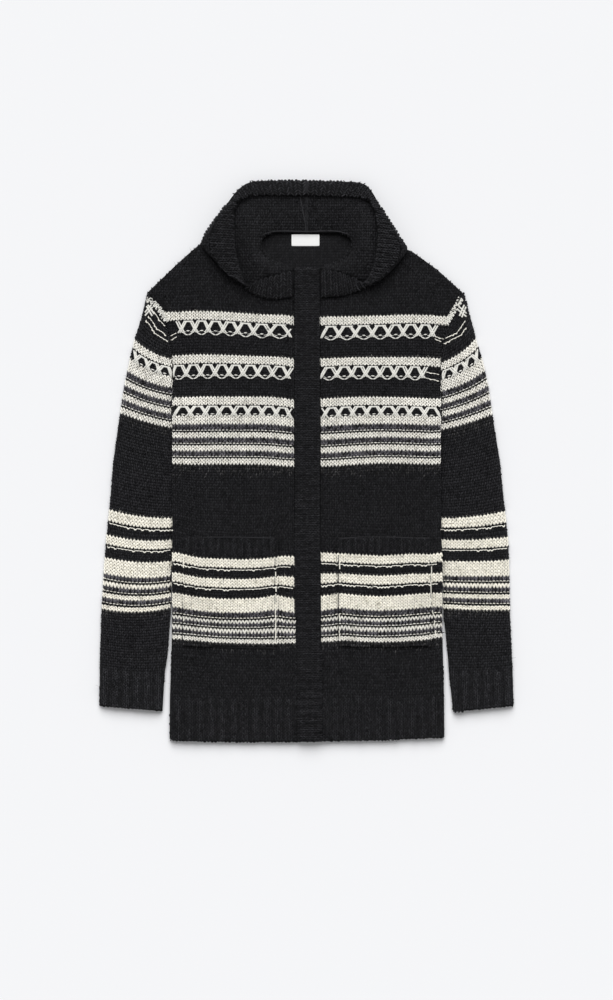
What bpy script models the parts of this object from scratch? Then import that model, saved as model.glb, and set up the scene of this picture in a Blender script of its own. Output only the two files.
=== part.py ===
"""A hooded mohair cardigan with an open rib-knit front, lying flat on its back with the front up.

Every cut and sewn piece is a wall of thick knitted cloth: an outer skin with its ribs raised, a plain
inner skin, and a rim that closes them. Millimetres are used throughout and become metres in skin().
Across the garment x runs from the centre line, y from the hem to the hood, z up from the table.
"""

import math
from collections import namedtuple

import bmesh
import bpy

MM = 0.001
CENTRE_Y = 419.25  # half-way between the hem and the top of the hood: the origin lies under it

# The cloth
WALL = 4.0  # chunky brushed knit
SEAM = 0.3  # gap between two pieces that are sewn or lie on each other
RIB = 1.2  # how far a rib stands above the groove beside it
EDGE_FALL = 2.2  # how far a panel's outer skin rounds down at its side seam

# The body
COLUMN = 8.25  # spacing of the panels' grid, half a hem rib
COLUMNS = 22  # from the side seam to the front band
SHARED_COLUMNS = 11  # the columns near the side seam that back and front have in common
BAND = 38.6  # width of the front band
BAND_COVER = 29.0  # how much of the covered front band there is, from its seam to its free edge
BAND_RIB = 12.8  # pitch of the ribs across the front band
HEM_RIB_HEIGHT = 60.0
RIB_END = 4.0  # length over which the ribs run out into plain cloth
UNDERARM_Y = 549.0
ARMHOLE_STEPS = 4

# The sleeve
SLEEVE_SLIT = 1.4  # hollow between the two layers of the flattened sleeve
SLEEVE_COLUMNS = 12
CUFF_ROW = 13  # the first row of the ribbed cuff in SLEEVE

# The side of the body lies over the sleeve's inner edge
TUCK_LIFT = 10.8
TUCK_FLAT = 4  # columns that are lifted all the way
TUCK_END = 10  # the column where the body is down again

# The hood
HOOD_SEAT = 0.4  # gap under the hood
HOOD_STEPS = 3  # grid rows for each row of the hood's table
HOOD_RIM = 5.0  # height of the fold at the hood's outer rim
BAND_STEPS = 2  # rows of the hood band for each grid row of the hood
BAND_GAP = 0.5
BAND_STEP = (0.4, 1.2)  # beyond the band's outer edge the hood's cloth steps up to be level with it
BAND_ARCH = 0.8  # how far the middle of the hood band bulges
DROP_START = 14.0  # beyond the shoulder line the hood comes down to the table between these two
DROP_END = 28.0
NECK_MIDDLE = 740.0

# The pockets
POCKET_WALL = 3.0
POCKET_FIRST = 2  # column of the pocket's outer edge
POCKET_LAST = 19  # column of its inner edge
POCKET_GAPE = 1.5  # how far its mouth stands off the front panel

LABEL = (42.0, 17.5, 0.8)
LABEL_CENTRE = (-1.5, 751.5)

LEFT = -1
RIGHT = 1
SIDE_NAMES = {LEFT: "left", RIGHT: "right"}

Level = namedtuple("Level", "y left right")
Knot = namedtuple("Knot", "column left_x left_y right_x right_y")
Seam = namedtuple("Seam", "left_x left_y right_x right_y")
SleeveRow = namedtuple("SleeveRow", "outer_x outer_y inner_x inner_y")
HoodRow = namedtuple("HoodRow", "neck_x neck_y in_x in_y out_x out_y rim_x rim_y roll dip under_in under_out fold")

# Where the side seams lie, from the hem up
SIDE_SEAMS = [
    Level(0.0, -205.5, 207.0),
    Level(60.0, -205.2, 206.5),
    Level(142.0, -202.5, 204.5),
    Level(200.0, -201.5, 203.5),
    Level(549.0, -200.0, 200.0),
]

# How far the hem's edge wanders from a straight line, by the distance across the garment
HEM_LINE = [(-206, 3.0), (-195, 0.0), (-100, -1.5), (0, -1.0), (60, 0.5), (112, 1.5), (207, 5.5)]

# Top of the front panels: along the shoulder, then down the neckline to the front band
FRONT_TOP = [
    Knot(0, -238.0, 673.5, 234.0, 673.0),
    Knot(5, -194.0, 716.0, 197.0, 706.5),
    Knot(9, -160.0, 746.0, 158.0, 735.0),
    Knot(16, -71.0, 765.0, 71.0, 765.0),
    Knot(17, -69.5, 745.0, 68.5, 745.0),
    Knot(19, -51.0, 721.5, 52.0, 722.0),
    Knot(22, -20.2, 711.0, 19.4, 711.0),
]
BACK_TOP = FRONT_TOP[:4] + [Knot(17, -62.0, 763.5, 62.0, 763.5), Knot(24, 0.0, 763.5, 0.0, 763.5)]

# The armhole seam, from the underarm to the shoulder point
ARMHOLE = [
    Seam(-200.0, 549.0, 200.0, 549.0),
    Seam(-205.0, 597.0, 205.0, 597.0),
    Seam(-211.0, 627.0, 211.0, 625.0),
    Seam(-222.0, 645.0, 221.0, 645.0),
    Seam(-238.0, 673.5, 234.0, 673.0),
]

# Heights of the body's grid rows: the hem rib's end, the pocket and the tuck each have their own
HEM_ROWS = [0.0, HEM_RIB_HEIGHT, HEM_RIB_HEIGHT + RIB_END]
POCKET_ROWS = [142.0, 170.0, 200.0, 230.0, 260.0, 276.0, 280.0, 306.0]
BODY_ROWS = HEM_ROWS + POCKET_ROWS + [390.0, 480.0, 497.0, 514.0, 531.0]
TUCK_START = 260.0  # between these two heights the body is lifted all the way over the sleeve
TUCK_STOP = 480.0
TUCK_RUN_IN = 90.0  # below them it comes down over this length, and above them before the underarm

# Each sleeve from the armhole to the wrist: its outer edge, and its inner edge, which runs under the body
LEFT_SLEEVE = [
    SleeveRow(-248.0, 634.0, -201.2, 528.0),
    SleeveRow(-258.5, 602.0, -201.6, 505.0),
    SleeveRow(-267.0, 565.0, -202.0, 482.0),
    SleeveRow(-275.0, 525.0, -187.0, 456.0),
    SleeveRow(-282.5, 475.0, -176.0, 425.0),
    SleeveRow(-290.0, 420.0, -172.5, 388.0),
    SleeveRow(-295.5, 355.0, -176.0, 345.0),
    SleeveRow(-301.0, 300.0, -188.0, 300.0),
    SleeveRow(-304.0, 262.0, -202.2, 262.0),
    SleeveRow(-308.0, 190.0, -203.8, 187.0),
    SleeveRow(-310.3, 130.0, -208.5, 127.0),
    SleeveRow(-310.5, 106.0, -212.5, 103.0),
    SleeveRow(-310.6, 102.0, -213.0, 99.0),
    SleeveRow(-311.0, 53.0, -216.0, 44.5),
]
RIGHT_SLEEVE = [
    SleeveRow(246.5, 634.0, 201.4, 528.0),
    SleeveRow(255.0, 601.0, 202.0, 505.0),
    SleeveRow(265.5, 568.0, 202.6, 482.0),
    SleeveRow(273.5, 530.0, 187.0, 456.0),
    SleeveRow(281.5, 475.0, 176.0, 425.0),
    SleeveRow(290.5, 420.0, 172.5, 388.0),
    SleeveRow(297.0, 355.0, 177.0, 345.0),
    SleeveRow(303.0, 300.0, 190.0, 300.0),
    SleeveRow(304.5, 262.0, 204.3, 262.0),
    SleeveRow(305.5, 190.0, 206.0, 187.0),
    SleeveRow(308.5, 130.0, 212.0, 127.0),
    SleeveRow(309.5, 106.0, 213.5, 103.0),
    SleeveRow(309.7, 102.0, 214.0, 99.0),
    SleeveRow(311.0, 53.0, 220.0, 43.5),
]

# One half of the hood from the centre of its back round to the throat. Each row crosses it from the neck
# seam to the outer rim; "in" and "out" are the two edges of the rib band, then come the heights of the
# roll, of the dip inside the band, under both edges of the band, and of the cloth folded over at the rim.
LEFT_HOOD = [
    HoodRow(-0.3, 762, -0.3, 819, -0.3, 840, -0.3, 837, 11, 10, 11, 9, 9),
    HoodRow(-30, 762, -36, 819, -40, 840, -40, 837, 12, 10, 11, 9, 9),
    HoodRow(-52, 761.5, -71, 819, -82, 838.5, -81, 835.5, 14, 11, 12, 10, 10),
    HoodRow(-62, 757, -94, 814.5, -103, 826, -102, 823, 18, 12, 15, 12, 12),
    HoodRow(-66.5, 750, -107.5, 802, -121, 802, -125, 798.5, 23, 14, 20, 17, 17.2),
    HoodRow(-68, 742, -110, 782, -132, 784, -139, 781, 26, 15, 23, 20, 23.5),
    HoodRow(-67, 735, -109.5, 760, -142, 762, -152, 760, 27, 16, 24, 20, 23.8),
    HoodRow(-64, 729, -108, 739, -145, 741, -158, 743, 27, 16, 25, 20, 23.8),
    HoodRow(-58.5, 723, -104.5, 717, -134, 718, -140, 723, 26, 16, 24, 20, 23.8),
    HoodRow(-51, 718.5, -98, 697, -117, 699, -120, 701.5, 24, 15, 22, 19, 22.5),
    HoodRow(-43, 715, -89, 681.5, -97.5, 686.5, -99, 688, 21, 14, 19, 17, 17.2),
    HoodRow(-34, 712.5, -72, 690, -78, 669.5, -73.5, 687, 18, 13, 12.5, 9, 9),
    HoodRow(-27, 711, -50, 696.5, -52, 663, -50.5, 694, 17, 14, 12.5, 9, 9),
    HoodRow(-20.6, 711, -21, 704, -21, 666, -21, 701, 17, 15, 12.5, 9, 9),
]
RIGHT_HOOD = [
    HoodRow(0.3, 762, 0.3, 819, 0.3, 840, 0.3, 837, 11, 10, 11, 9, 9),
    HoodRow(30, 762, 36, 818, 40, 839, 40, 836, 12, 10, 11, 9, 9),
    HoodRow(52, 761.5, 69, 817, 81, 837, 80, 834, 14, 11, 12, 10, 10),
    HoodRow(62, 757, 87, 814, 97, 825, 96, 822, 18, 12, 15, 12, 12),
    HoodRow(66.5, 750, 98, 806, 110, 801.5, 113, 798, 23, 14, 20, 17, 17.2),
    HoodRow(67.5, 742, 105.5, 784, 122, 781, 126.5, 778, 26, 15, 23, 20, 23.5),
    HoodRow(66.5, 735, 108, 760, 132, 758.5, 139, 757, 27, 16, 24, 20, 23.8),
    HoodRow(63.5, 729, 107, 739, 141, 736, 151, 739, 27, 16, 25, 20, 23.8),
    HoodRow(58, 723, 103.5, 717, 132, 715, 139, 718, 26, 16, 24, 20, 23.8),
    HoodRow(50.5, 718.5, 96, 697.5, 114, 694, 117.5, 696, 24, 15, 22, 19, 22.5),
    HoodRow(42.5, 715, 87, 687, 96, 684.5, 98, 686, 21, 14, 19, 17, 17.2),
    HoodRow(34, 712.5, 66, 696, 72, 673.5, 67.5, 693, 18, 13, 12.5, 9, 9),
    HoodRow(27, 711, 47, 702.5, 49, 667, 47.5, 700, 17, 14, 12.5, 9, 9),
    HoodRow(20.6, 711, 21, 706.5, 21, 666, 21, 703, 17, 15, 12.5, 9, 9),
]

# Share of the way from the neck seam to the rib band, and how much of the roll's height is reached there
ROLL_SECTION = [(0.0, 0.0), (0.16, 0.6), (0.38, 1.0), (0.6, 0.92), (0.82, 0.45)]


def clear_scene():
    for thing in list(bpy.data.objects):
        bpy.data.objects.remove(thing, do_unlink=True)


def knit_material(name, colour, roughness=0.95):
    material = bpy.data.materials.new(name)
    material.use_nodes = True
    shader = material.node_tree.nodes["Principled BSDF"]
    shader.inputs["Base Color"].default_value = (*colour, 1.0)
    shader.inputs["Roughness"].default_value = roughness
    shader.inputs["Metallic"].default_value = 0.0
    return material


def between(a, b, share):
    return a + (b - a) * share


def blend(first, second, share):
    """The point or table row a share of the way between two others."""
    return [between(a, b, share) for a, b in zip(first, second)]


def follow(table, at):
    """Straight-line value at a place in a table of rows (place, value, ...), as a list."""
    rows = [list(row) for row in table]
    if at <= rows[0][0]:
        return rows[0][1:]
    for low, high in zip(rows, rows[1:]):
        if at <= high[0]:
            return blend(low[1:], high[1:], (at - low[0]) / (high[0] - low[0]))
    return rows[-1][1:]


def skin(mesh, grid, ring):
    """Lays triangles through a grid of points and returns its vertices, row by row."""
    rows = [[mesh.verts.new((x * MM, (y - CENTRE_Y) * MM, z * MM)) for x, y, z in row] for row in grid]
    for lower, upper in zip(rows, rows[1:]):
        pairs = list(zip(lower, upper))
        if ring:
            pairs.append(pairs[0])
        for (a, d), (b, c) in zip(pairs, pairs[1:]):
            mesh.faces.new((a, b, c))
            mesh.faces.new((a, c, d))
    return rows


def borders(rows, ring):
    """The edge of a skin, as closed loops of its vertices."""
    if ring:
        return [rows[0], rows[-1]]
    sides = [row[-1] for row in rows[1:-1]], [row[0] for row in rows[-2:0:-1]]
    return [rows[0] + sides[0] + rows[-1][::-1] + sides[1]]


def wall(name, outside, inside, material, ring=False):
    """One closed solid: two skins with a rim between their edges."""
    mesh = bmesh.new()
    skins = [skin(mesh, grid, ring) for grid in (outside, inside)]
    for outer, inner in zip(borders(skins[0], ring), borders(skins[1], ring)):
        for i in range(len(outer)):
            j = (i + 1) % len(outer)
            mesh.faces.new((outer[i], outer[j], inner[j]))
            mesh.faces.new((outer[i], inner[j], inner[i]))
    bmesh.ops.recalc_face_normals(mesh, faces=mesh.faces)
    data = bpy.data.meshes.new(name)
    mesh.to_mesh(data)
    mesh.free()
    data.materials.append(material)
    data.shade_smooth()
    piece = bpy.data.objects.new(name, data)
    bpy.context.collection.objects.link(piece)
    return piece


# ---- the body ----

def side_seam(side, y):
    left, right = follow(SIDE_SEAMS, y)
    return left if side == LEFT else right


def band_centre(y):
    """The front bands lean a little from the throat to the hem."""
    return between(3.4, -0.4, min(max(y / 700.0, 0.0), 1.0))


def band_seam(side, y):
    """Where a front panel ends at its front band."""
    return band_centre(y) + side * (BAND / 2 + SEAM)


def top_point(top, side, column):
    left_x, left_y, right_x, right_y = follow(top, column)
    return (left_x, left_y) if side == LEFT else (right_x, right_y)


def armhole(side, share):
    """A point of the armhole seam, from the underarm at 0 to the shoulder at 1."""
    place = share * ARMHOLE_STEPS
    step = min(int(place), ARMHOLE_STEPS - 1)
    left_x, left_y, right_x, right_y = blend(ARMHOLE[step], ARMHOLE[step + 1], place - step)
    return (left_x, left_y) if side == LEFT else (right_x, right_y)


def straight_row(side, column, y, last_column, centre_x):
    """A point of a row below the underarm. Near the side seam back and front share it."""
    start = side_seam(side, y)
    shared = start - side * COLUMN * min(column, SHARED_COLUMNS)
    beyond = max(column - SHARED_COLUMNS, 0) / (last_column - SHARED_COLUMNS)
    x = between(shared, centre_x, beyond)
    drop = follow(HEM_LINE, x)[0] * (1 - min(y / POCKET_ROWS[0], 1))
    return x, y + drop


def body_point(top, side, column, row, last_column, centre_x):
    """A point of a body panel; the rows after BODY_ROWS climb from the underarm to the panel's top."""
    if row < len(BODY_ROWS):
        return straight_row(side, column, BODY_ROWS[row], last_column, centre_x(BODY_ROWS[row]))
    climb = (row - len(BODY_ROWS)) / ARMHOLE_STEPS
    bottom = straight_row(side, column, UNDERARM_Y, last_column, centre_x(UNDERARM_Y))
    point = blend(bottom, top_point(top, side, column), climb)
    chord = blend(armhole(side, 0), armhole(side, 1), climb)
    bow = [a - b for a, b in zip(armhole(side, climb), chord)]
    fade = max(1 - column / SHARED_COLUMNS, 0)
    return point[0] + bow[0] * fade, point[1] + bow[1] * fade


def ease(share):
    """Smooth step from 0 to 1."""
    share = min(max(share, 0.0), 1.0)
    return share * share * (3 - 2 * share)


def tuck(column, row):
    """How far the body is lifted where it lies on the sleeve's inner edge."""
    if row >= len(BODY_ROWS):
        return 0.0
    y = BODY_ROWS[row]
    across = ease((TUCK_END - column) / (TUCK_END - TUCK_FLAT))
    below = ease((y - TUCK_START) / TUCK_RUN_IN + 1)
    above = ease((UNDERARM_Y - y) / (UNDERARM_Y - TUCK_STOP))
    return TUCK_LIFT * across * below * above


def edge_fall(column):
    return EDGE_FALL if column == 0 else 0.0


def hem_rib(column, row):
    """The ribs of the hem stand on every second column and run out above it."""
    return RIB if row < 2 and column % 2 == 1 else 0.0


def row_count():
    return len(BODY_ROWS) + ARMHOLE_STEPS + 1


def make_back(material):
    last_column = 24
    columns = list(range(SHARED_COLUMNS + 1)) + [13, 16, 17, 20, 24]
    under, over = [], []
    for row in range(row_count()):
        half = {}
        for side in (LEFT, RIGHT):
            half[side] = []
            for column in columns:
                x, y = body_point(BACK_TOP, side, column, row, last_column, lambda y: 0.0)
                half[side].append((x, y, tuck(column, row), edge_fall(column)))
        line = half[LEFT] + half[RIGHT][-2::-1]
        under.append([(x, y, lift + fall * 0.7) for x, y, lift, fall in line])
        over.append([(x, y, lift + WALL) for x, y, lift, fall in line])
    wall("back", under, over, material)


def front_grid(side, level, outer=False, columns=None, rows=None, ribs=hem_rib):
    """Points of a front panel, a given height above its underside. Rows run from left to right, as on the
    back, so that the triangles of both panels lie flat on each other."""
    grid = []
    for row in rows or range(row_count()):
        line = []
        for column in columns or range(COLUMNS + 1):
            x, y = body_point(FRONT_TOP, side, column, row, COLUMNS, lambda y: band_seam(side, y))
            z = WALL + SEAM + level + tuck(column, row)
            if outer:
                z += ribs(column, row) - edge_fall(column)
            line.append((x, y, z))
        grid.append(line if side == LEFT else line[::-1])
    return grid


def make_front(side, material):
    wall(f"front_{SIDE_NAMES[side]}", front_grid(side, WALL, outer=True), front_grid(side, 0.0), material)


def make_pocket(side, material):
    """A patch pocket sewn on three sides, made from the front panel's points moved out. Its mouth gapes."""
    first_row = BODY_ROWS.index(POCKET_ROWS[0])
    rows = range(first_row, first_row + len(POCKET_ROWS))

    def pocket_rib(column, row):
        return RIB if row in rows[-2:] and column % 2 == 1 else 0.0

    columns = range(POCKET_FIRST, POCKET_LAST + 1)
    lift = WALL + SEAM
    outside = front_grid(side, lift + POCKET_WALL, True, columns, rows, pocket_rib)
    inside = front_grid(side, lift, False, columns, rows)
    for grid in (outside, inside):
        grid[-1] = [(x, y, z + POCKET_GAPE) for x, y, z in grid[-1]]
    wall(f"pocket_{SIDE_NAMES[side]}", outside, inside, material)


# ---- the front bands ----

def make_front_bands(material):
    """Both bands run from the hem to the throat; the wearer's right one lies on the other."""
    top_y = 709.0
    ribs = int((top_y - HEM_LINE[3][1]) / BAND_RIB)
    rows = 2 * ribs
    middle = WALL + SEAM
    upper = middle + WALL + SEAM
    section = [(-BAND / 2, middle, -0.8), (-BAND / 2 + 7.5, upper, 0), (3.0, upper, 0.4), (BAND / 2, upper, -1.2)]
    outside, inside = [], []
    for row in range(rows + 1):
        y = between(HEM_LINE[3][1], top_y, row / rows)
        rib = RIB if row % 2 == 1 else 0.0
        centre = band_centre(y)
        outside.append([(centre + x, y, z + WALL + round_off + rib) for x, z, round_off in section])
        inside.append([(centre + x, y, z) for x, z, round_off in section])
    wall("front_band_left", outside, inside, material)
    lines = []
    for y in (HEM_LINE[3][1], 350.0, 705.0):
        edge = band_centre(y) + BAND / 2
        lines.append([(edge - BAND_COVER, y), (edge, y)])
    covered = [[[(x, y, z) for x, y in line] for line in lines] for z in (middle + WALL, middle)]
    wall("front_band_right", covered[0], covered[1], material)


# ---- the sleeves ----

def sleeve_rows(side):
    """Rows of points across the sleeve in plan, the first along the armhole seam."""
    reach = SEAM * 1.5 * side
    first = []
    for column in range(SLEEVE_COLUMNS + 1):
        x, y = armhole(side, 1 - column / SLEEVE_COLUMNS)
        first.append((x + reach, y))
    rows = [first]
    for row in LEFT_SLEEVE if side == LEFT else RIGHT_SLEEVE:
        outer = (row.outer_x, row.outer_y)
        inner = (row.inner_x, row.inner_y)
        rows.append([blend(outer, inner, column / SLEEVE_COLUMNS) for column in range(SLEEVE_COLUMNS + 1)])
    return rows


def make_sleeve(side, material):
    """A knitted tube pressed flat: two layers joined by a rounded fold along each edge."""
    half = WALL + SLEEVE_SLIT / 2
    outside, inside = [], []
    for number, line in enumerate(sleeve_rows(side)):
        rib = RIB if number >= CUFF_ROW else 0.0
        rings = {}
        for inset in (0.0, WALL):
            ends = [blend(line[0], line[-1], inset / math.dist(line[0], line[-1]))]
            ends.append(blend(line[-1], line[0], inset / math.dist(line[0], line[-1])))
            depth = half - inset
            plan = [ends[0]] + list(line[1:-1]) + [ends[1]]
            top, bottom = [], []
            for column, (x, y) in enumerate(plan):
                if column in (0, SLEEVE_COLUMNS):
                    top.append((x, y, half))
                    continue
                raised = rib if inset == 0.0 and column % 2 == 1 else 0.0
                top.append((x, y, half + depth + raised))
                bottom.append((x, y, half - depth))
            rings[inset] = top + bottom[::-1]
        outside.append(rings[0.0])
        inside.append(rings[WALL])
    wall(f"sleeve_{SIDE_NAMES[side]}", outside, inside, material, ring=True)


# ---- the hood ----

def catmull_rom(table, place):
    """A smooth table row at a fractional row number."""
    index = min(int(place), len(table) - 2)
    t = place - index
    p0, p1, p2, p3 = (table[min(max(index + k, 0), len(table) - 1)] for k in (-1, 0, 1, 2))
    row = []
    for a, b, c, d in zip(p0, p1, p2, p3):
        bend = 2 * a - 5 * b + 4 * c - d
        row.append(b + 0.5 * t * (c - a + t * (bend + t * (3 * (b - c) + d - a))))
    return HoodRow(*row)


def seat_height(side, x, y):
    """Top of what the hood lies on: the front panel, the back's neck edge, or the table beyond them."""
    front = WALL + SEAM + WALL
    cover = between(WALL, front, min(max((abs(x) - 44) / 12, 0), 1)) if y > NECK_MIDDLE else front
    knots = [top_point(BACK_TOP, side, column) for column in (0, 5, 9, 16, 24)]
    shoulder = sorted((abs(knot_x), knot_y) for knot_x, knot_y in knots)
    beyond = y - follow(shoulder, abs(x))[0]
    return cover * min(max((DROP_END - beyond) / (DROP_END - DROP_START), 0), 1)


def hood_section(side, row):
    """Points across the hood from the neck seam to the rim, as (x, y, underside, top)."""
    neck, edge_in = (row.neck_x, row.neck_y), (row.in_x, row.in_y)
    edge_out, rim = (row.out_x, row.out_y), (row.rim_x, row.rim_y)
    foot = seat_height(side, *neck) + HOOD_SEAT + WALL
    points = []
    for share, height in ROLL_SECTION:
        x, y = blend(neck, edge_in, share)
        low = between(foot, row.dip, share)
        points.append((x, y, between(low, row.roll, height)))
    points.append((*blend(neck, edge_in, 0.95), row.dip))
    points.append((*edge_in, row.under_in))
    if row.fold > row.under_out:
        reach = math.dist(edge_out, rim)
        under_out, beside = (blend(edge_out, rim, beyond / reach) for beyond in BAND_STEP)
        shoulder = blend(beside, rim, 0.6)
    else:
        under_out, beside, shoulder = (blend(edge_in, rim, share) for share in (0.7, 0.8, 0.9))
    points.append((*blend(edge_in, under_out, 0.5), between(row.under_in, row.under_out, 0.5)))
    points.append((*under_out, row.under_out))
    points.append((*beside, row.fold))
    rim_top = max(between(seat_height(side, *rim), row.fold, 0.4), HOOD_RIM)
    points.append((*shoulder, between(rim_top, row.fold, 0.75)))
    points.append((*rim, rim_top))
    section = []
    for x, y, top in points:
        under = seat_height(side, x, y)
        under = under + HOOD_SEAT if under > 0.01 else 0.0
        section.append((x, y, under, top))
    return section


def hood_rows(side):
    table = LEFT_HOOD if side == LEFT else RIGHT_HOOD
    steps = (len(table) - 1) * HOOD_STEPS
    return [catmull_rom(table, step / HOOD_STEPS) for step in range(steps + 1)]


def make_hood(side, material):
    """Half of the hood. Its crown, folded away underneath, is the thickness of this solid."""
    sections = [hood_section(side, row) for row in hood_rows(side)]
    outside = [[(x, y, top) for x, y, under, top in section] for section in sections]
    inside = [[(x, y, under) for x, y, under, top in section] for section in sections]
    wall(f"hood_{SIDE_NAMES[side]}", outside, inside, material)


def hood_band_point(side, row, share):
    """A point under the rib band, from its inner edge at 0 to its outer edge at 1."""
    x, y = blend((row.in_x, row.in_y), (row.out_x, row.out_y), share)
    seat = seat_height(side, x, y)
    height = max(between(row.under_in, row.under_out, share), seat + HOOD_SEAT)
    return x, y, height + BAND_GAP


def make_hood_band(side, material):
    """The ribbed band round the hood's opening: flat at the top and throat, folded over at the side."""
    rows = hood_rows(side)
    fine = []
    for low, high in zip(rows, rows[1:]):
        fine += [HoodRow(*blend(low, high, step / BAND_STEPS)) for step in range(BAND_STEPS)]
    fine.append(rows[-1])
    outside, inside = [], []
    for number, row in enumerate(fine):
        rib = RIB if number % 2 == 1 else 0.0
        line = [hood_band_point(side, row, share) for share in (0.0, 0.5, 1.0)]
        inside.append(line)
        arch = (-0.6, BAND_ARCH, -0.6)
        outside.append([(x, y, z + WALL + rib + bulge) for (x, y, z), bulge in zip(line, arch)])
    wall(f"hood_band_{SIDE_NAMES[side]}", outside, inside, material)


# ---- the neck label ----

def make_label(material):
    """A plain woven tab sewn at the back of the neck."""
    width, height, thickness = LABEL
    x, y = LABEL_CENTRE
    corners = [
        [(x + i * width / 2, y + j * height / 2, WALL + SEAM) for i in (-1, 1)] for j in (-1, 1)
    ]
    raised = [[(x, y, z + thickness) for x, y, z in line] for line in corners]
    wall("neck_label", raised, corners, material)


def main():
    clear_scene()
    knit = knit_material("black_mohair", (0.013, 0.013, 0.015))
    rib_knit = knit_material("black_rib", (0.011, 0.011, 0.013))
    woven = knit_material("label_tape", (0.86, 0.86, 0.84), 0.6)
    make_back(knit)
    make_front_bands(rib_knit)
    make_label(woven)
    for side in (LEFT, RIGHT):
        make_front(side, knit)
        make_pocket(side, knit)
        make_sleeve(side, knit)
        make_hood(side, knit)
        make_hood_band(side, rib_knit)


main()
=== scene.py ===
"""The looks of a hooded mohair cardigan that lies flat on its back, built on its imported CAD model.

The sections follow the garment as it is made up: back, fronts, pockets, sleeves, front bands, hood, hood
bands, label. Heights in the tables are millimetres from the hem, and x is millimetres from the centre line.
"""

import math
from collections import namedtuple

import bpy
import numpy as np
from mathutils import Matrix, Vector
from mathutils.bvhtree import BVHTree


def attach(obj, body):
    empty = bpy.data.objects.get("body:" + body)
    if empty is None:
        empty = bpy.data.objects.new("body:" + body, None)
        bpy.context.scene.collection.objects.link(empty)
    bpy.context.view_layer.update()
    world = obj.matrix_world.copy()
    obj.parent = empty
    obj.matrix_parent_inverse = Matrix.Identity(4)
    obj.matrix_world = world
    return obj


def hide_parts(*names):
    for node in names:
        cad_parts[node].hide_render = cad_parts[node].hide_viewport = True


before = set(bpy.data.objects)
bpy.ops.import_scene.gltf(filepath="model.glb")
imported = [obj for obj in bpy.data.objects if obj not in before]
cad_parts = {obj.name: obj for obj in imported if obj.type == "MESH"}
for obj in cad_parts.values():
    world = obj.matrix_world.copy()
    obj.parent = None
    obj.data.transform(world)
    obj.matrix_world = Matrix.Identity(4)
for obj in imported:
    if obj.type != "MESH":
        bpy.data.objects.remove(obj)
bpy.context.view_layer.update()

# ---- Camera ----
# The garment was photographed from straight above, with the middle of the picture a little below the
# garment's own middle. One pixel of the 613 x 1000 picture is 1.5 mm of cloth.
MM = 0.001
CENTRE_Y = 419.25  # height above the hem that lies at the frame's origin
PICTURE_MIDDLE = 361.5  # height above the hem at the middle of the picture
PIXEL, PICTURE_LONG_SIDE = 1.5, 1000
LENS, SENSOR = 135.0, 36.0
CLOTH_LEVEL = 0.010  # the scale holds at about the top of the cloth

camera_data = bpy.data.cameras.new("camera")
camera_data.lens, camera_data.sensor_width = LENS, SENSOR
camera = bpy.data.objects.new("camera", camera_data)
bpy.context.scene.collection.objects.link(camera)
camera_height = CLOTH_LEVEL + PIXEL * MM * PICTURE_LONG_SIDE * LENS / SENSOR
camera.location = (0.0, (PICTURE_MIDDLE - CENTRE_Y) * MM, camera_height)
bpy.context.scene.camera = camera
bpy.context.scene.view_settings.view_transform = "Standard"

# ---- Back panel ----
# The back is one piece of chunky brushed knit, black with two groups of cream stripes, and its outer side
# lies on the table. It is a closed wall on the CAD solid, with its stitches and stripes in its material.
STITCH, ROW = 5.3, 4.2  # width of a stitch and height of a row
TOOTH = 4.4  # how far a stitch's two legs rise from its foot

# The stripes of the body from the top down: each yarn's upper edge. "dashed" and "line" are the single rows
# of light and of black purl bumps between the dark mixed rows and the next cream ones.
BODY_STRIPES = [
    (780.0, "black"), (642.7, "cream"), (629.6, "black"), (578.6, "cream"), (565.4, "black"),
    (516.3, "cream"), (503.6, "black"), (488.5, "cream"),
    (475.2, "mixed"), (467.0, "dashed"), (465.3, "line"), (463.4, "cream"),
    (454.8, "mixed"), (447.4, "dashed"), (445.7, "line"), (443.9, "cream"),
    (434.9, "mixed"), (427.6, "dashed"), (425.9, "line"), (424.3, "cream"),
    (414.9, "black"), (274.0, "cream"), (260.6, "black"), (244.2, "cream"), (230.6, "black"),
    (214.0, "cream"), (192.8, "mixed"), (185.6, "dashed"), (183.8, "line"), (181.6, "cream"),
    (176.8, "mixed"), (172.0, "dashed"), (170.2, "line"), (168.2, "cream"),
    (162.2, "mixed"), (157.2, "dashed"), (155.4, "line"), (153.4, "cream"), (147.0, "black"),
    (-8.0, "black"),
]
PLAIN = [(860.0, "black"), (-60.0, "black")]
# Share of grey stitches in the black under each group, where cream fibres were brushed into it
BODY_FLECKS = [(-8.0, 0.0), (130.0, 0.0), (147.0, 0.9), (148.0, 0.0),
               (394.0, 0.0), (414.9, 0.9), (416.0, 0.0)]
NO_FLECKS = [(0.0, 0.0)]

# On the body and the sleeves alike, one group of stripes lies above this height and one below it. A colour
# ramp holds a group: it goes a little beyond the group's edges and has a greatest length.
GROUPS_PART = 380.0
RAMP_MARGIN = 2.0
RAMP_LENGTH = {"lower": 230.0, "upper": 236.0}
NO_YARN = (0.0, 0.0, 0.0, 1.0)


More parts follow.
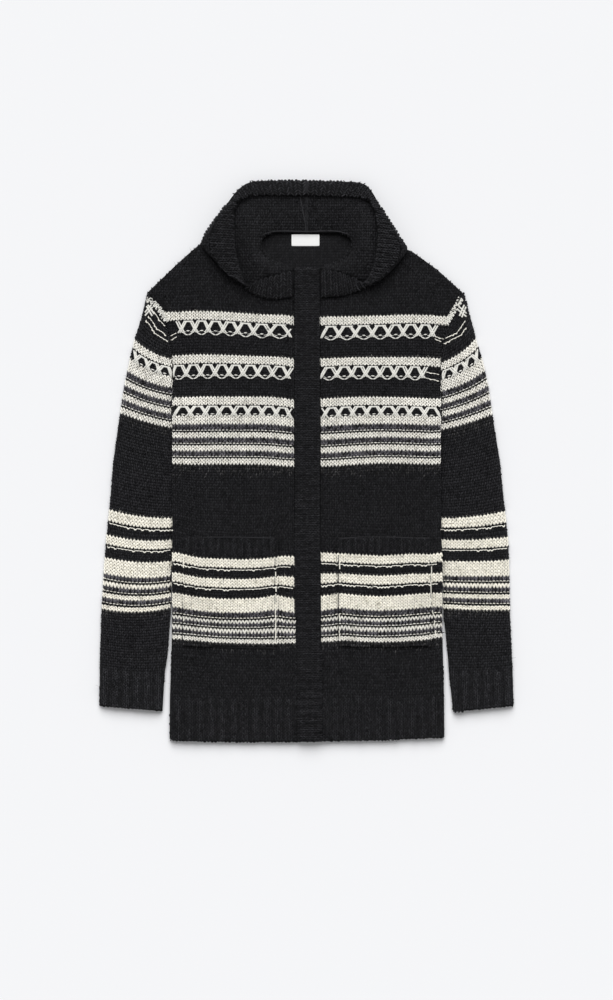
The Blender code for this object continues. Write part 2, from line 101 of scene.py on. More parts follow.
class Shade:
    """A value inside a material. Arithmetic on it adds the Math nodes that work it out."""

    def __init__(self, tree, socket=None):
        self.tree, self.socket = tree, socket

    def node(self, kind, settings=None, inputs=None, output=0):
        """Any node: its type, then its settings, then the values or links of its sockets."""
        made = self.tree.nodes.new("ShaderNode" + kind)
        for name, value in (settings or {}).items():
            if name == "stops":
                for place, colour in value[2:]:
                    made.color_ramp.elements.new(place)
                for element, (place, colour) in zip(made.color_ramp.elements, value):
                    element.position, element.color = place, colour
            elif name == "interpolation":
                made.color_ramp.interpolation = value
            else:
                setattr(made, name, value)
        for key, value in (inputs or {}).items():
            if isinstance(value, Shade):
                self.tree.links.new(value.socket, made.inputs[key])
            else:
                made.inputs[key].default_value = value
        return Shade(self.tree, made.outputs[output])

    def output(self, place):
        """Another output of the node that this value comes from."""
        return Shade(self.tree, self.socket.node.outputs[place])

    def into(self, surface, name):
        """Feeds this value to a socket of the surface."""
        self.tree.links.new(self.socket, surface.inputs[name])

    def maths(self, operation, *values):
        return self.node("Math", {"operation": operation}, dict(enumerate(values)))

    def __add__(self, other):
        return self.maths("ADD", self, other)

    def __sub__(self, other):
        return self.maths("SUBTRACT", self, other)

    def __rsub__(self, other):
        return self.maths("SUBTRACT", other, self)

    def __mul__(self, other):
        return self.maths("MULTIPLY", self, other)

    def __truediv__(self, other):
        return self.maths("DIVIDE", self, other)

    def __abs__(self):
        return self.maths("ABSOLUTE", self)

    __radd__ = __add__
    __rmul__ = __mul__


def stripe_masks(shade, height, stripes, group, yarns):
    """For each of two yarns, 1 where this group of stripes has it. One colour ramp serves both."""
    edges = [edge for edge, _ in stripes if (edge < GROUPS_PART) == (group == "lower")]
    low, high = min(edges) - RAMP_MARGIN, max(edges) + RAMP_MARGIN
    if group == "lower":
        low = max(low, high - RAMP_LENGTH[group])
    else:
        high = min(high, low + RAMP_LENGTH[group])
    stops = [(0.0, NO_YARN)]
    for (top, yarn), (bottom, _) in reversed(list(zip(stripes, stripes[1:]))):
        if low < bottom < high and yarn in yarns:
            colour = (float(yarn == yarns[0]), float(yarn == yarns[1]), 0.0, 1.0)
            stops.append(((bottom - low) / (high - low), colour))
            stops.append(((top - low) / (high - low), NO_YARN))
    merged = {}
    for place, colour in stops:
        if place not in merged or colour != NO_YARN:
            merged[place] = colour
    ramp = shade.node("ValToRGB", {"stops": sorted(merged.items()), "interpolation": "CONSTANT"},
                      {0: (height - low) / (high - low)})
    parts = shade.node("SeparateColor", None, {0: ramp})
    return parts.output(0), parts.output(1)


def mix(shade, share, first, second):
    """A colour between two others."""
    return shade.node("Mix", {"data_type": "RGBA"}, {0: share, 6: first, 7: second}, 2)


# Colours of the yarns: where a strand dives into the cloth, where it lies open, and how much it varies
# The colour where a strand dives into the cloth is painted shade, darker than the yarn itself.
YARNS = {
    "black": ((0.0050, 0.0050, 0.0055), (0.0240, 0.0240, 0.0265), 0.40),
    "cream": ((0.30, 0.288, 0.245), (0.93, 0.905, 0.815), 0.09),
    "mixed": ((0.012, 0.012, 0.013), (0.104, 0.100, 0.112), 0.90),
    "dashed": ((0.30, 0.29, 0.25), (0.86, 0.84, 0.76), 0.2),
    "line": ((0.0035, 0.0035, 0.004), (0.009, 0.009, 0.010), 0.4),
    "seam": ((0.008, 0.008, 0.009), (0.034, 0.034, 0.037), 0.3),
    "neutral": ((0.10, 0.10, 0.10), (0.80, 0.79, 0.74), 0.1),
    "fleck": ((0.010, 0.010, 0.011), (0.050, 0.049, 0.050), 0.6),
}
YARN_FINISH = 0.9, 0.12  # roughness and shine of every yarn
# Between its cream stitches the cloth is painted greyer, as shade in the gaps, most of all in the upper group
GAP_SHADE_COLOUR = (0.10, 0.10, 0.09, 1)
GAP_SHADE_SHARE = {"lower": 0.25, "upper": 0.7}


def new_material(name, roughness, shine):
    """A material, its surface, and a start for its shader maths."""
    material = bpy.data.materials.new(name)
    material.use_nodes = True
    surface = material.node_tree.nodes["Principled BSDF"]
    surface.inputs["Roughness"].default_value = roughness
    surface.inputs["Specular IOR Level"].default_value = shine
    return material, surface, Shade(material.node_tree)


def knit_material(name, stripes=PLAIN, across=False):
    """Brushed knit. The piece's own map gives its place across and along the stitches, in millimetres."""
    material, surface, shade = new_material(name, *YARN_FINISH)
    place = shade.node("UVMap", {"uv_map": "knit"})
    parts = shade.node("SeparateXYZ", None, {0: place})
    wale, height = parts.output(0), parts.output(1)
    if across:
        wale, height = height, wale
    # The legs slant down from a stitch's sides to its foot, and stand highest along their middle
    fine = shade.node("TexNoise", {"noise_dimensions": "2D"}, {"Vector": place, "Scale": 0.9, "Detail": 3.0})
    side = abs(shade.maths("FRACT", wale / STITCH) - 0.5) * 2.0
    slant = height + (0.5 - side) * TOOTH + (fine - 0.5) * 1.2
    strand = shade.maths("SINE", shade.maths("FRACT", slant / ROW) * math.pi)
    column = 1.0 - shade.maths("POWER", side, 5.0)
    raised = shade.maths("SQRT", strand) * (0.55 + 0.45 * column)
    # Each leg has its own lightness, and fluff lies over them all
    cell = shade.node("CombineXYZ", None, {
        0: shade.maths("FLOOR", wale / (STITCH / 2)), 1: shade.maths("FLOOR", slant / ROW)})
    chance = shade.node("TexWhiteNoise", {"noise_dimensions": "2D"}, {"Vector": cell})
    fluff = shade.node("TexNoise", {"noise_dimensions": "2D"},
                       {"Vector": place, "Scale": 0.45, "Detail": 4.0, "Roughness": 0.7})
    # The legs' height also paints shade into the colour, darker between the rows and at a stitch's sides.
    light = raised * (0.3 + 0.5 * chance) * (0.5 + fluff)
    black, cream, mixed = (mix(shade, light, (*YARNS[yarn][0], 1), (*YARNS[yarn][1], 1))
                           for yarn in ("black", "cream", "mixed"))
    colour = black
    if stripes is not PLAIN:
        for group in ("lower", "upper"):
            on_cream, on_mixed = stripe_masks(shade, slant, stripes, group, ("cream", "mixed"))
            colour = mix(shade, on_mixed, colour, mixed)
            colour = mix(shade, on_cream, colour, mix(shade, GAP_SHADE_SHARE[group], cream, GAP_SHADE_COLOUR))
    bump = shade.node("Bump", None, {"Strength": 0.9, "Distance": 0.0011,
                                     "Height": raised + (fluff - 0.5) * 0.7})
    colour.into(surface, "Base Color")
    bump.into(surface, "Normal")
    return material


def only(piece):
    """Selects this piece alone, for the operators."""
    bpy.ops.object.select_all(action="DESELECT")
    piece.select_set(True)
    bpy.context.view_layer.objects.active = piece


def subdivide(piece, kind, levels):
    """Divides every face, plainly or rounding the piece, as its kind says."""
    only(piece)
    rounding = piece.modifiers.new("rounding", "SUBSURF")
    rounding.subdivision_type = kind
    rounding.levels = rounding.render_levels = levels
    bpy.ops.object.modifier_apply(modifier=rounding.name)


FACES_UP = 0.7
RIB_STEP = (0.0002, 0.0009)  # how far, in metres, the points of a rib or a groove stand off their neighbours


def deepen_ribs(piece):
    """Raises the ribs of a piece and sinks its grooves, so that they are as deep after the rounding."""
    mesh = piece.data
    linked = [[] for _ in mesh.vertices]
    for edge in mesh.edges:
        a, b = edge.vertices
        linked[a].append(b)
        linked[b].append(a)
    heights = [vertex.co.z for vertex in mesh.vertices]
    for vertex, others in zip(mesh.vertices, linked):
        stands = heights[vertex.index] - sum(heights[k] for k in others) / len(others)
        if vertex.normal.z > FACES_UP and RIB_STEP[0] < abs(stands) < RIB_STEP[1]:
            vertex.co.z += stands


EDGE_ANGLE, EDGE_CREASE = math.radians(55), 0.8


def cloth(node, plain, smooth, cuts=(), ribbed=False):
    """A closed piece of cloth on a node's solid. Its triangles are paired again, long faces are cut across
    at the given heights, and the whole is divided and rounded, less so along its edges."""
    piece = bpy.data.objects.new(node + "_knit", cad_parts[node].data.copy())
    bpy.context.scene.collection.objects.link(piece)
    only(piece)
    bpy.ops.object.mode_set(mode="EDIT")
    bpy.ops.mesh.select_all(action="SELECT")
    bpy.ops.mesh.remove_doubles(threshold=0.00002)
    bpy.ops.mesh.tris_convert_to_quads(face_threshold=1.2, shape_threshold=3.1)
    bpy.ops.object.mode_set(mode="OBJECT")
    if ribbed:
        deepen_ribs(piece)
    bpy.ops.object.mode_set(mode="EDIT")
    for height in cuts:
        bpy.ops.mesh.select_all(action="SELECT")
        bpy.ops.mesh.bisect(plane_co=(0, (height - CENTRE_Y) * MM, 0), plane_no=(0, 1, 0))
    bpy.ops.mesh.select_all(action="DESELECT")
    bpy.ops.mesh.edges_select_sharp(sharpness=EDGE_ANGLE)
    bpy.ops.transform.edge_crease(value=EDGE_CREASE)
    bpy.ops.object.mode_set(mode="OBJECT")
    if plain:
        subdivide(piece, "SIMPLE", plain)
    subdivide(piece, "CATMULL_CLARK", smooth)
    piece.data.materials.clear()
    piece.data.shade_smooth()
    return piece


def points(piece):
    """The piece's vertices as an array in garment millimetres: x, height above the hem, z."""
    flat = np.empty(len(piece.data.vertices) * 3)
    piece.data.vertices.foreach_get("co", flat)
    return flat.reshape(-1, 3) / MM + (0.0, CENTRE_Y, 0.0)


def chart(piece, place_in_knitting):
    """Gives the piece its map: where each point lies across and along the stitches, in millimetres."""
    places = points(piece)
    across, along = place_in_knitting(places[:, 0], places[:, 1])
    corner = np.empty(len(piece.data.loops), dtype=np.int64)
    piece.data.loops.foreach_get("vertex_index", corner)
    for old in list(piece.data.uv_layers):
        piece.data.uv_layers.remove(old)
    layer = piece.data.uv_layers.new(name="knit")
    layer.data.foreach_set("uv", np.stack([across[corner], along[corner]], 1).ravel())


def sew_in(piece, material, slot, *nodes):
    """Gives a piece its material and body, and names the nodes whose looks it takes over. Its slot is not
    used.
    """
    piece.data.materials.append(material)
    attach(piece, "root")
    if nodes:
        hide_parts(*nodes)


def straight(x, y):
    """The map, or the place, of knitting whose rows lie straight across the garment."""
    return x, y


BACK_CUTS = np.arange(4.0, 545.0, 10.0)
body_knit = knit_material("black_and_cream_mohair", BODY_STRIPES)
back = cloth("back", 0, 1, BACK_CUTS, ribbed=True)
chart(back, straight)
sew_in(back, body_knit, "mohair_knit", "back")

# ---- Front panels ----
# Two panels of the same knit, sewn to the back at the sides and shoulders. The stripes sag and rise a
# little between the seams, as they do where soft knitting is laid out by hand.
LEFT, RIGHT = -1, 1
SIDE_NAMES = {LEFT: "left", RIGHT: "right"}

# How far each stripe lies below its level, by x: at the yoke, chest and waist, then the lower group's first
# and third stripe and its last one
SAG_LEVELS = [0.0, 120.0, 147.0, 205.0, 262.0, 340.0, 415.0, 540.0, 610.0, 642.0]
SAG = {
    LEFT: [
        # x, yoke, chest, waist, first, third, last
        (-194, -0.9, 1.6, -0.5, -8.7, -8.1, -5.5),
        (-179, -1.8, 0.8, 0.3, -5.2, -5.0, -4.5),
        (-160, -2.4, -0.1, 0.5, -0.9, -2.0, -2.7),
        (-130, -1.5, -0.2, -0.2, 0.5, 0.5, -0.4),
        (-100, 0.6, -0.3, 0.0, 1.8, 0.6, 0.6),
        (-70, 2.8, -0.3, 0.3, 0.9, -0.8, 1.2),
        (-49, 3.4, 0.3, 1.3, -1.2, -5.2, 1.4),
        (-40, 3.6, 1.2, 2.3, -2.9, -4.2, 0.8),
        (-31, 3.8, 2.3, 2.9, -3.5, -1.4, 0.9),
        (-20, 6.0, 4.5, 3.3, -2.9, 0.8, 0.0),
    ],
    RIGHT: [
        (22, 6.6, 3.2, 3.3, -8.8, -2.5, -1.6),
        (38, 5.9, 1.7, 3.0, -7.7, -5.0, -2.2),
        (49, 5.9, 1.2, 2.4, -7.2, -7.6, -3.4),
        (56, 6.0, 0.7, 1.8, -7.0, -7.0, -3.9),
        (80, 5.1, 0.2, 0.0, -5.5, -4.2, -2.2),
        (110, 4.8, 0.6, -1.6, -4.1, -2.9, -1.1),
        (140, 3.5, 1.2, -1.2, -5.5, -4.2, -1.8),
        (158, 3.3, 1.9, -0.6, -7.0, -6.0, -3.3),
        (173, 3.6, 2.5, 0.0, -6.5, -7.6, -4.0),
        (186, 3.9, 3.4, 0.5, -6.2, -8.5, -6.0),
        (198, 5.5, 3.6, -0.6, -8.0, -8.3, -8.0),
    ],
}


def sag(side, x, height):
    """How far the stripe of this level lies below it at x."""
    x, height = np.broadcast_arrays(np.asarray(x, float), np.asarray(height, float))
    table = np.array(SAG[side], float)
    yoke, chest, waist, first, third, last = (np.interp(x, table[:, 0], table[:, k]) for k in range(1, 7))
    levels = [0 * x, last, last, third, first, first, waist, chest, yoke, yoke]
    result = levels[0].copy()
    for k in range(1, len(SAG_LEVELS)):
        low, high = SAG_LEVELS[k - 1], SAG_LEVELS[k]
        share = np.clip((height - low) / (high - low), 0, 1)
        result = np.where(height >= low, levels[k - 1] + (levels[k] - levels[k - 1]) * share, result)
    return result


def front_chart(side):
    return lambda x, y: (x, y + sag(side, x, y))


def front_place(side):
    return lambda across, level: (across, level - sag(side, across, level))


draw = np.random.default_rng(7)  # all chance in the yarn comes from here, one draw after another
RAY_START = 0.2  # metres above the table, well over the cloth
DOWN = Vector((0, 0, -1))
STEEP = 0.25  # cloth that faces up less than this carries no strands


def shape_of(piece):
    """The piece's surface, to find where it lies."""
    corners = [vertex.co for vertex in piece.data.vertices]
    faces = [face.vertices for face in piece.data.polygons]
    return BVHTree.FromPolygons(corners, faces)


def solids(*nodes):
    """The surfaces of other pieces' solids, which hide what lies under them."""
    return [shape_of(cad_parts[node]) for node in nodes]


def drape(x, y, ground, covers):
    """Height and slope of the cloth at each place, and whether it shows there from above."""
    height, slope, shows = np.zeros(len(x)), np.zeros((len(x), 3)), np.zeros(len(x), bool)
    for i, (across, along) in enumerate(zip((x * MM).tolist(), ((y - CENTRE_Y) * MM).tolist())):
        start = Vector((across, along, RAY_START))
        hit, normal = ground.ray_cast(start, DOWN)[:2]
        if hit is None or normal.z < STEEP:
            continue
        height[i], slope[i] = hit.z / MM, normal
        above = (cover.ray_cast(start, DOWN)[0] for cover in covers)
        shows[i] = all(lid is None or lid.z < hit.z for lid in above)
    return height, slope, shows


def unit(vectors):
    return vectors / np.linalg.norm(vectors, axis=1, keepdims=True)


def strand_mesh(name, start, end, upward, width, rise, rings, sides, tip_colour, colour):
    """One mesh of many short strands. Each is closed: two points and the rings between them, which stand at
    shares of its length and have shares of its thickness."""
    count, along = len(start), end - start
    across = unit(np.cross(upward, along))
    up = unit(np.cross(along, across))
    places = np.empty((count, 2 + len(rings) * sides, 3))
    colours = np.ones((count, places.shape[1], 4))
    places[:, 0], places[:, 1] = start, end
    colours[:, :2, :3] = tip_colour[:, None]
    colours[:, 2:, :3] = colour[:, None]
    for ring, (share, size, lift) in enumerate(rings):
        centre = start + along * share + up * (rise * lift)[:, None]
        for k in range(sides):
            turn = 2 * math.pi * k / sides
            sideways = (width * size * math.cos(turn))[:, None]
            upwards = (rise * size * math.sin(turn))[:, None]
            places[:, 2 + ring * sides + k] = centre + (across * sideways + up * upwards)
    faces, last = [], 2 + (len(rings) - 1) * sides
    for k in range(sides):
        after = (k + 1) % sides
        faces += [(0, 2 + after, 2 + k), (1, last + k, last + after)]
        for ring in range(len(rings) - 1):
            first, second = 2 + ring * sides, 2 + (ring + 1) * sides
            faces.append((first + k, first + after, second + after, second + k))
    base = np.arange(count) * places.shape[1]
    corners = []
    for face in faces:
        corners += (base[:, None] + np.array(face)).tolist()
    mesh = bpy.data.meshes.new(name)
    mesh.from_pydata(((places.reshape(-1, 3) - (0.0, CENTRE_Y, 0.0)) * MM).tolist(), [], corners)
    layer = mesh.attributes.new("yarn", "FLOAT_COLOR", "POINT")
    layer.data.foreach_set("color", colours.ravel())
    mesh.shade_smooth()
    piece = bpy.data.objects.new(name, mesh)
    bpy.context.scene.collection.objects.link(piece)
    return piece


OBJECT_PLACE = 3  # the Object output of Texture Coordinate


def yarn_material(name):
    """Brushed yarn. The strands' own attribute gives its colour, and fibres lie light and dark along it."""
    material, surface, shade = new_material(name, *YARN_FINISH)
    colour = shade.node("Attribute", {"attribute_name": "yarn"})
    place = shade.node("TexCoord", output=OBJECT_PLACE)
    fibres = shade.node("TexNoise", None, {"Vector": place, "Scale": 900.0, "Detail": 3.0, "Roughness": 0.7})
    varied = shade.node("VectorMath", {"operation": "SCALE"}, {0: colour, 3: 0.55 + 0.9 * fibres})
    bump = shade.node("Bump", None, {"Strength": 0.5, "Distance": 0.0005, "Height": fibres})
    varied.into(surface, "Base Color")
    bump.into(surface, "Normal")
    return material


def yarn_colours(yarns, light=1.0):
    """Tip colours, in painted shade, and body colours of the yarns' strands, each a little lighter or darker.
    """
    deep, lit, spread = (np.array([YARNS[yarn][k] for yarn in yarns]) for k in range(3))
    share = (1 + spread * draw.uniform(-1, 1, len(yarns)))[:, None] * np.reshape(light, (-1, 1))
    return deep * share, lit * share


def rows_of(stripes, bottom, top):
    """The rows of knitting: the level of each row's middle, its height and its yarn."""
    rows = []
    for (upper, name_of_yarn), (lower, _) in zip(stripes, stripes[1:]):
        count = max(1, round((upper - lower) / ROW))
        tall = (upper - lower) / count
        rows += [(upper - (k + 0.5) * tall, tall, name_of_yarn) for k in range(count)]
    return [row for row in rows if bottom < row[0] < top]


# Rings of a leg, a cream leg and a hair: share of the length, of the thickness and of the rise
LEG_RINGS = [(0.2, 0.85, 0.1), (0.75, 1.0, 0.0)]
PLUMP_RINGS = [(0.12, 0.66, 0.1), (0.45, 1.0, 0.2), (0.85, 0.8, 0.0)]
HAIR_RINGS = [(0.5, 1.0, 1.0)]
UPWARD = (0.0, 0.0, 1.0)

# Cream is neutral in the upper group and the body's lowest rows, with deeper painted shade at its tips; warm
# elsewhere
NEUTRAL_BELOW = 184.0
NEUTRAL_TIP_SHADE, NEUTRAL, WARM = (0.16, 0.165, 0.18), (1.012, 1.015, 1.048), (1.03, 1.02, 1.01)

# A leg of a stitch, and one of plain black cloth: half its height as a share of the row's, and in
# millimetres how far its foot lies from the wale and its head from the stitch's side
LEG, LOOSE_LEG = dict(rise=0.72, foot=0.25, head=0.25), dict(rise=0.60, foot=0.75, head=0.55)
FLAT_REACH = {"line": 0.66, "dashed": 0.42}  # half the length of a flat bump, in stitches
JITTER, BLACK_JITTER = 0.14, 2.3  # unevenness in millimetres, and how many times as uneven black yarn is

# How far a flat bump's middle stands above the cloth, by its yarn, then a leg's, whose foot stands higher
# and head lower by the tilt. A strand follows the slope of the cloth by the greatest drop at most.
LIFTS = {"line": 0.95, "dashed": 0.6}
LEG_LIFT, LEG_TILT = 0.2, 0.25
GREATEST_DROP = 1.6
RIB_HEIGHT, SUNK = 0.6, 0.35  # strands on a rib stand above those in a groove, and all are sunk a little

# Half the width of a leg, how much plumper a warm cream one is, half the width of a flat bump as a share
# of its row's height, how much all widths vary, and half the thickness of either kind
LEG_WIDTH, PLUMP, FLAT_WIDTH, UNEVEN = 1.08, 1.25, 0.45, (0.85, 1.15)
LEG_RISE, FLAT_RISE = 1.0, 0.7
ODD_ROW_LIGHT, EVEN_ROW_LIGHT = 1.06, 0.95
# Grooves between the ribs get painted shade: the light a groove keeps, and what it gains up a rib.
GROOVE_LIGHT, GROOVE_GAIN = 0.78, 0.6  # light in a groove, and what it gains on the way up a rib

HAIR_LENGTH, HAIR_CLIMB = (3.0, 9.0), (-0.3, 1.4)
HAIR_ARCH, HAIR_WIDTH = (0.4, 1.4), (0.08, 0.16)
HAIR_ROOT = 0.8  # above the cloth
BLACK_HAIR_LIGHT = 2.0

Strands = namedtuple("Strands", "foot head middle height slope level yarn tall row stands")


def plain_cloth(across, level):
    """Cloth with no ribs: all of it stands as high as a rib."""
    return np.ones(len(across))


def ribs(pitch, edge, below=True, start=0.0):
    """1 on the ribs and 0 between them, below or above a level; the cloth beyond it has none."""
    def ridge(across, level):
        wave = 0.5 - 0.5 * np.cos(2 * math.pi * (across - start) / pitch)
        return np.where((level < edge) == below, wave, 1.0)
    return ridge


def stitch_ends(rows, wales, ridge):
    """Every strand across and along the knitting: two slanting legs for a stitch, or one flat bump in the
    dashed and line rows. The legs of plain black cloth lie wider, and its odd rows half a stitch over.
    Gives where each foot and head lies, and each strand's yarn, row height and row."""
    middles = np.arange(math.floor(wales[0] / STITCH) + 0.5, wales[1] / STITCH) * STITCH
    index, wale = (grid.ravel() for grid in np.meshgrid(np.arange(len(rows)), middles, indexing="ij"))
    level, tall, yarn = (np.array(column)[index] for column in zip(*rows))
    flat = (yarn == "dashed") | (yarn == "line")
    legs = ~flat
    loose = (yarn[legs] == "black") & (ridge(wale[legs], level[legs]) == 1.0)
    wale[legs] += np.where(loose & (index[legs] % 2 == 1), STITCH / 2, 0.0)
    rise, foot_gap, head_gap = (np.where(loose, LOOSE_LEG[key], LEG[key]) for key in ("rise", "foot", "head"))
    rise = tall[legs] * rise
    kinds = []
    for hand in (-1, 1):
        foot = wale[legs] + hand * foot_gap
        head = wale[legs] + hand * (STITCH / 2 - head_gap)
        kinds.append((foot, level[legs] - rise, head, level[legs] + rise, legs))
    reach = np.where(yarn[flat] == "line", FLAT_REACH["line"], FLAT_REACH["dashed"]) * STITCH
    kinds.append((wale[flat] - reach, level[flat], wale[flat] + reach, level[flat], flat))
    ends = [np.concatenate(column) for column in list(zip(*kinds))[:4]]
    return ends + [np.concatenate([column[chosen] for *_, chosen in kinds]) for column in (yarn, tall, index)]


def stitch_mesh(name, strands, cream, raised, black_painted_light):
    """The strands of one colour as a piece. Grooves get painted shade, and every other black row is a little
    darker.
    """
    yarn, stands, slope = strands.yarn, strands.stands, strands.slope
    row_light = np.where(strands.row % 2, ODD_ROW_LIGHT, EVEN_ROW_LIGHT) * black_painted_light
    rib_light = np.where(stands == 1.0, 1.0, GROOVE_LIGHT + GROOVE_GAIN * stands)
    shaded_tips, body = yarn_colours(yarn, rib_light * np.where(yarn == "black", row_light, 1.0))
    neutral = ((strands.level > GROUPS_PART) | (strands.level < NEUTRAL_BELOW)) & cream
    shaded_tips = shaded_tips * np.where(neutral[:, None], NEUTRAL_TIP_SHADE, 1.0)
    body = body * np.where(neutral[:, None], NEUTRAL, WARM if cream else 1.0)
    is_flat = np.isin(yarn, list(LIFTS))
    lift = np.select([yarn == kind for kind in LIFTS], list(LIFTS.values()), LEG_LIFT)
    ends = []
    for end, tilt in ((strands.foot, LEG_TILT), (strands.head, -LEG_TILT)):
        fall = -(slope[:, :2] * (end - strands.middle)).sum(1) / slope[:, 2]
        fall = np.clip(fall, -GREATEST_DROP, GREATEST_DROP)
        level = strands.height + fall + RIB_HEIGHT * stands - SUNK
        ends.append(np.column_stack([end, level + (lift + raised + np.where(is_flat, 0.0, tilt))]))
    plump = np.where(cream & ~neutral, PLUMP, 1.0)
    width = np.where(is_flat, FLAT_WIDTH * strands.tall, LEG_WIDTH * plump)
    width = width * draw.uniform(*UNEVEN, len(yarn))
    kind, rings, sides, material = (("_cream_stitches", PLUMP_RINGS, 4, cream_yarn) if cream else
                                    ("_dark_stitches", LEG_RINGS, 3, dark_yarn))
    piece = strand_mesh(name + kind, *ends, slope, width, np.where(is_flat, FLAT_RISE, LEG_RISE),
                        rings, sides, shaded_tips, body)
    sew_in(piece, material, "mohair_knit")
    return piece


def hair_mesh(name, strands, raised):
    """Fine hairs that lean off the stitches on all sides, each one arched."""
    count = len(strands.yarn)
    root = np.column_stack([strands.middle, strands.height + HAIR_ROOT + raised])
    turn, length = draw.uniform(0, 2 * math.pi, count), draw.uniform(*HAIR_LENGTH, count)
    climb = draw.uniform(*HAIR_CLIMB, count)
    reach = np.column_stack([length * np.cos(turn), length * np.sin(turn), climb])
    light = np.where(strands.yarn == "black", BLACK_HAIR_LIGHT, 1.0)
    colour = yarn_colours(strands.yarn)[1] * light[:, None]
    width = draw.uniform(*HAIR_WIDTH, count)
    arch = draw.uniform(*HAIR_ARCH, count)
    hairs = strand_mesh(name + "_hairs", root, root + reach, np.tile(UPWARD, (count, 1)), width, arch,
                        HAIR_RINGS, 3, colour, colour)
    sew_in(hairs, dark_yarn, "mohair_knit")
    return hairs


# One setting scales all of a piece's black stitches: above 1 it is painted light, below 1 painted shade.
def knit_stitches(name, stripes, flecks, wales, levels, place, ground, covers=(), ridge=plain_cloth,
                  raised=0.0, black_painted_light=1.0, hair_share=0.3):
    """The stitches of a piece that show, as short strands, between two wales and two levels. Cream and
    dark stitches are separate meshes, and so are the hairs, which some of the stitches have."""
    foot_across, foot_along, head_across, head_along, yarn, tall, row = stitch_ends(
        rows_of(stripes, *levels), wales, ridge)
    jitter = draw.normal(0, JITTER, (4, len(yarn))) * np.where(yarn == "black", BLACK_JITTER, 1.0)
    foot = np.stack(place(foot_across + jitter[0], foot_along + jitter[1]), 1)
    head = np.stack(place(head_across + jitter[2], head_along + jitter[3]), 1)
    middle = (foot + head) / 2
    height, slope, shows = drape(middle[:, 0], middle[:, 1], ground, covers)
    level = (foot_along + head_along) / 2
    grey = draw.random(len(yarn)) < np.interp(level, *zip(*flecks))
    yarn = np.where((yarn == "black") & grey, "fleck", yarn)
    stands = ridge((foot_across + head_across) / 2, level)
    strands = Strands(foot, head, middle, height, slope, level, yarn, tall, row, stands)
    made = []
    for cream in (True, False):
        chosen = shows & (np.isin(yarn, ("cream", "dashed")) == cream)
        if chosen.any():
            chosen_strands = Strands(*(column[chosen] for column in strands))
            made.append(stitch_mesh(name, chosen_strands, cream, raised, black_painted_light))
    if hair_share:
        hairy = shows & (draw.random(len(shows)) < hair_share)
        made.append(hair_mesh(name, Strands(*(column[hairy] for column in strands)), raised))
    return made


HEM_RIBS = dict(pitch=16.5, edge=62.0)
HEM_RIB_START = 200.0  # the first groove, beside the side seam

cream_yarn = yarn_material("cream_yarn")
dark_yarn = yarn_material("black_yarn")
FRONT_CUTS = np.arange(6.0, 545.0, 16.0)
BODY_WALES = {LEFT: (-243.0, -12.0), RIGHT: (12.0, 243.0)}
fronts = {}
for side, name in SIDE_NAMES.items():
    front = cloth(f"front_{name}", 1, 1, FRONT_CUTS, ribbed=True)
    chart(front, front_chart(side))
    sew_in(front, body_knit, "mohair_knit", f"front_{name}")
    covers = solids(f"pocket_{name}", "front_band_left", f"hood_{name}", f"hood_band_{name}")
    stitches = knit_stitches(f"front_{name}", BODY_STRIPES, BODY_FLECKS, BODY_WALES[side], (-4.0, 765.0),
                             front_place(side), shape_of(front), covers,
                             ribs(**HEM_RIBS, start=side * HEM_RIB_START))
    fronts[side] = front

# ---- Pockets ----
# A patch pocket on each front, knitted to the same stripes, with a ribbed mouth that stands off the panel
# a little. It is sewn down on three sides.
POCKET_CUTS = np.arange(150.0, 300.0, 16.0)
POCKET_RIBS = dict(pitch=11.5, edge=280.0, below=False)

pockets = {}
for side, name in SIDE_NAMES.items():
    pocket = cloth(f"pocket_{name}", 1, 1, POCKET_CUTS, ribbed=True)
    chart(pocket, front_chart(side))
    sew_in(pocket, body_knit, "mohair_knit", f"pocket_{name}")
    stitches = knit_stitches(f"pocket_{name}", BODY_STRIPES, BODY_FLECKS, BODY_WALES[side], (130.0, 320.0),
                             front_place(side), shape_of(pocket), ridge=ribs(**POCKET_RIBS))
    pockets[side] = pocket

# ---- Crossed strands and beads of the fronts ----
# Under three of its cream stripes each front has a row of crossed strands, and under two more a beaded
# edge. They are lengths of yarn laid on the fronts and pockets, thick and thin as brushed yarn is.
# A thin dark strand in the groove under each of these stripes is painted shade.
LATTICE = [
    # level of the dark line, depth of the crossing and of the foot below it, closed below by cream
    dict(line=629.6, cross=13.6, foot=18.6, closed=False),
    dict(line=565.4, cross=14.2, foot=18.2, closed=False),
    dict(line=503.6, cross=11.4, foot=16.0, closed=True),
]
CROSSINGS = {
    LEFT: [
        [-188.0, -167.5, -147.3, -125.3, -103.4, -79.8, -54.5, -26.9],
        [-202.5, -180.6, -158.7, -137.6, -116.4, -95.3, -73.2, -51.3, -28.5],
        [-196.0, -174.2, -151.4, -131.0, -109.0, -87.9, -66.8, -45.6, -26.1],
    ],
    RIGHT: [
        [24.6, 48.3, 73.2, 98.7, 122.5, 145.0, 167.8, 188.7],
        [23.0, 45.2, 68.0, 88.8, 110.4, 131.6, 152.1, 173.3],
        [27.5, 48.0, 69.0, 90.4, 111.5, 133.5, 153.9, 176.7, 198.0],
    ],
}
ROW_ENDS = {LEFT: (-199.5, -18.5), RIGHT: (21.5, 199.5)}
BEADED = [260.6, 230.6]
# Beaded lines between a row's last crossing and the armhole, from end to end
BEADED_ENDS = {
    LEFT: [((-204.8, 607.4), (-193.0, 613.2)), ((-204.0, 601.5), (-193.0, 607.4))],
    RIGHT: [((191.2, 607.5), (207.8, 602.6)), ((192.2, 604.0), (205.4, 597.5)),
            ((178.0, 554.0), (201.0, 549.6)), ((178.5, 544.8), (201.0, 540.0))],
}

ON_TOP = 0.7  # the tops of the stitches stand this far above the cloth
CREAM_YARNS = ("cream", "neutral")


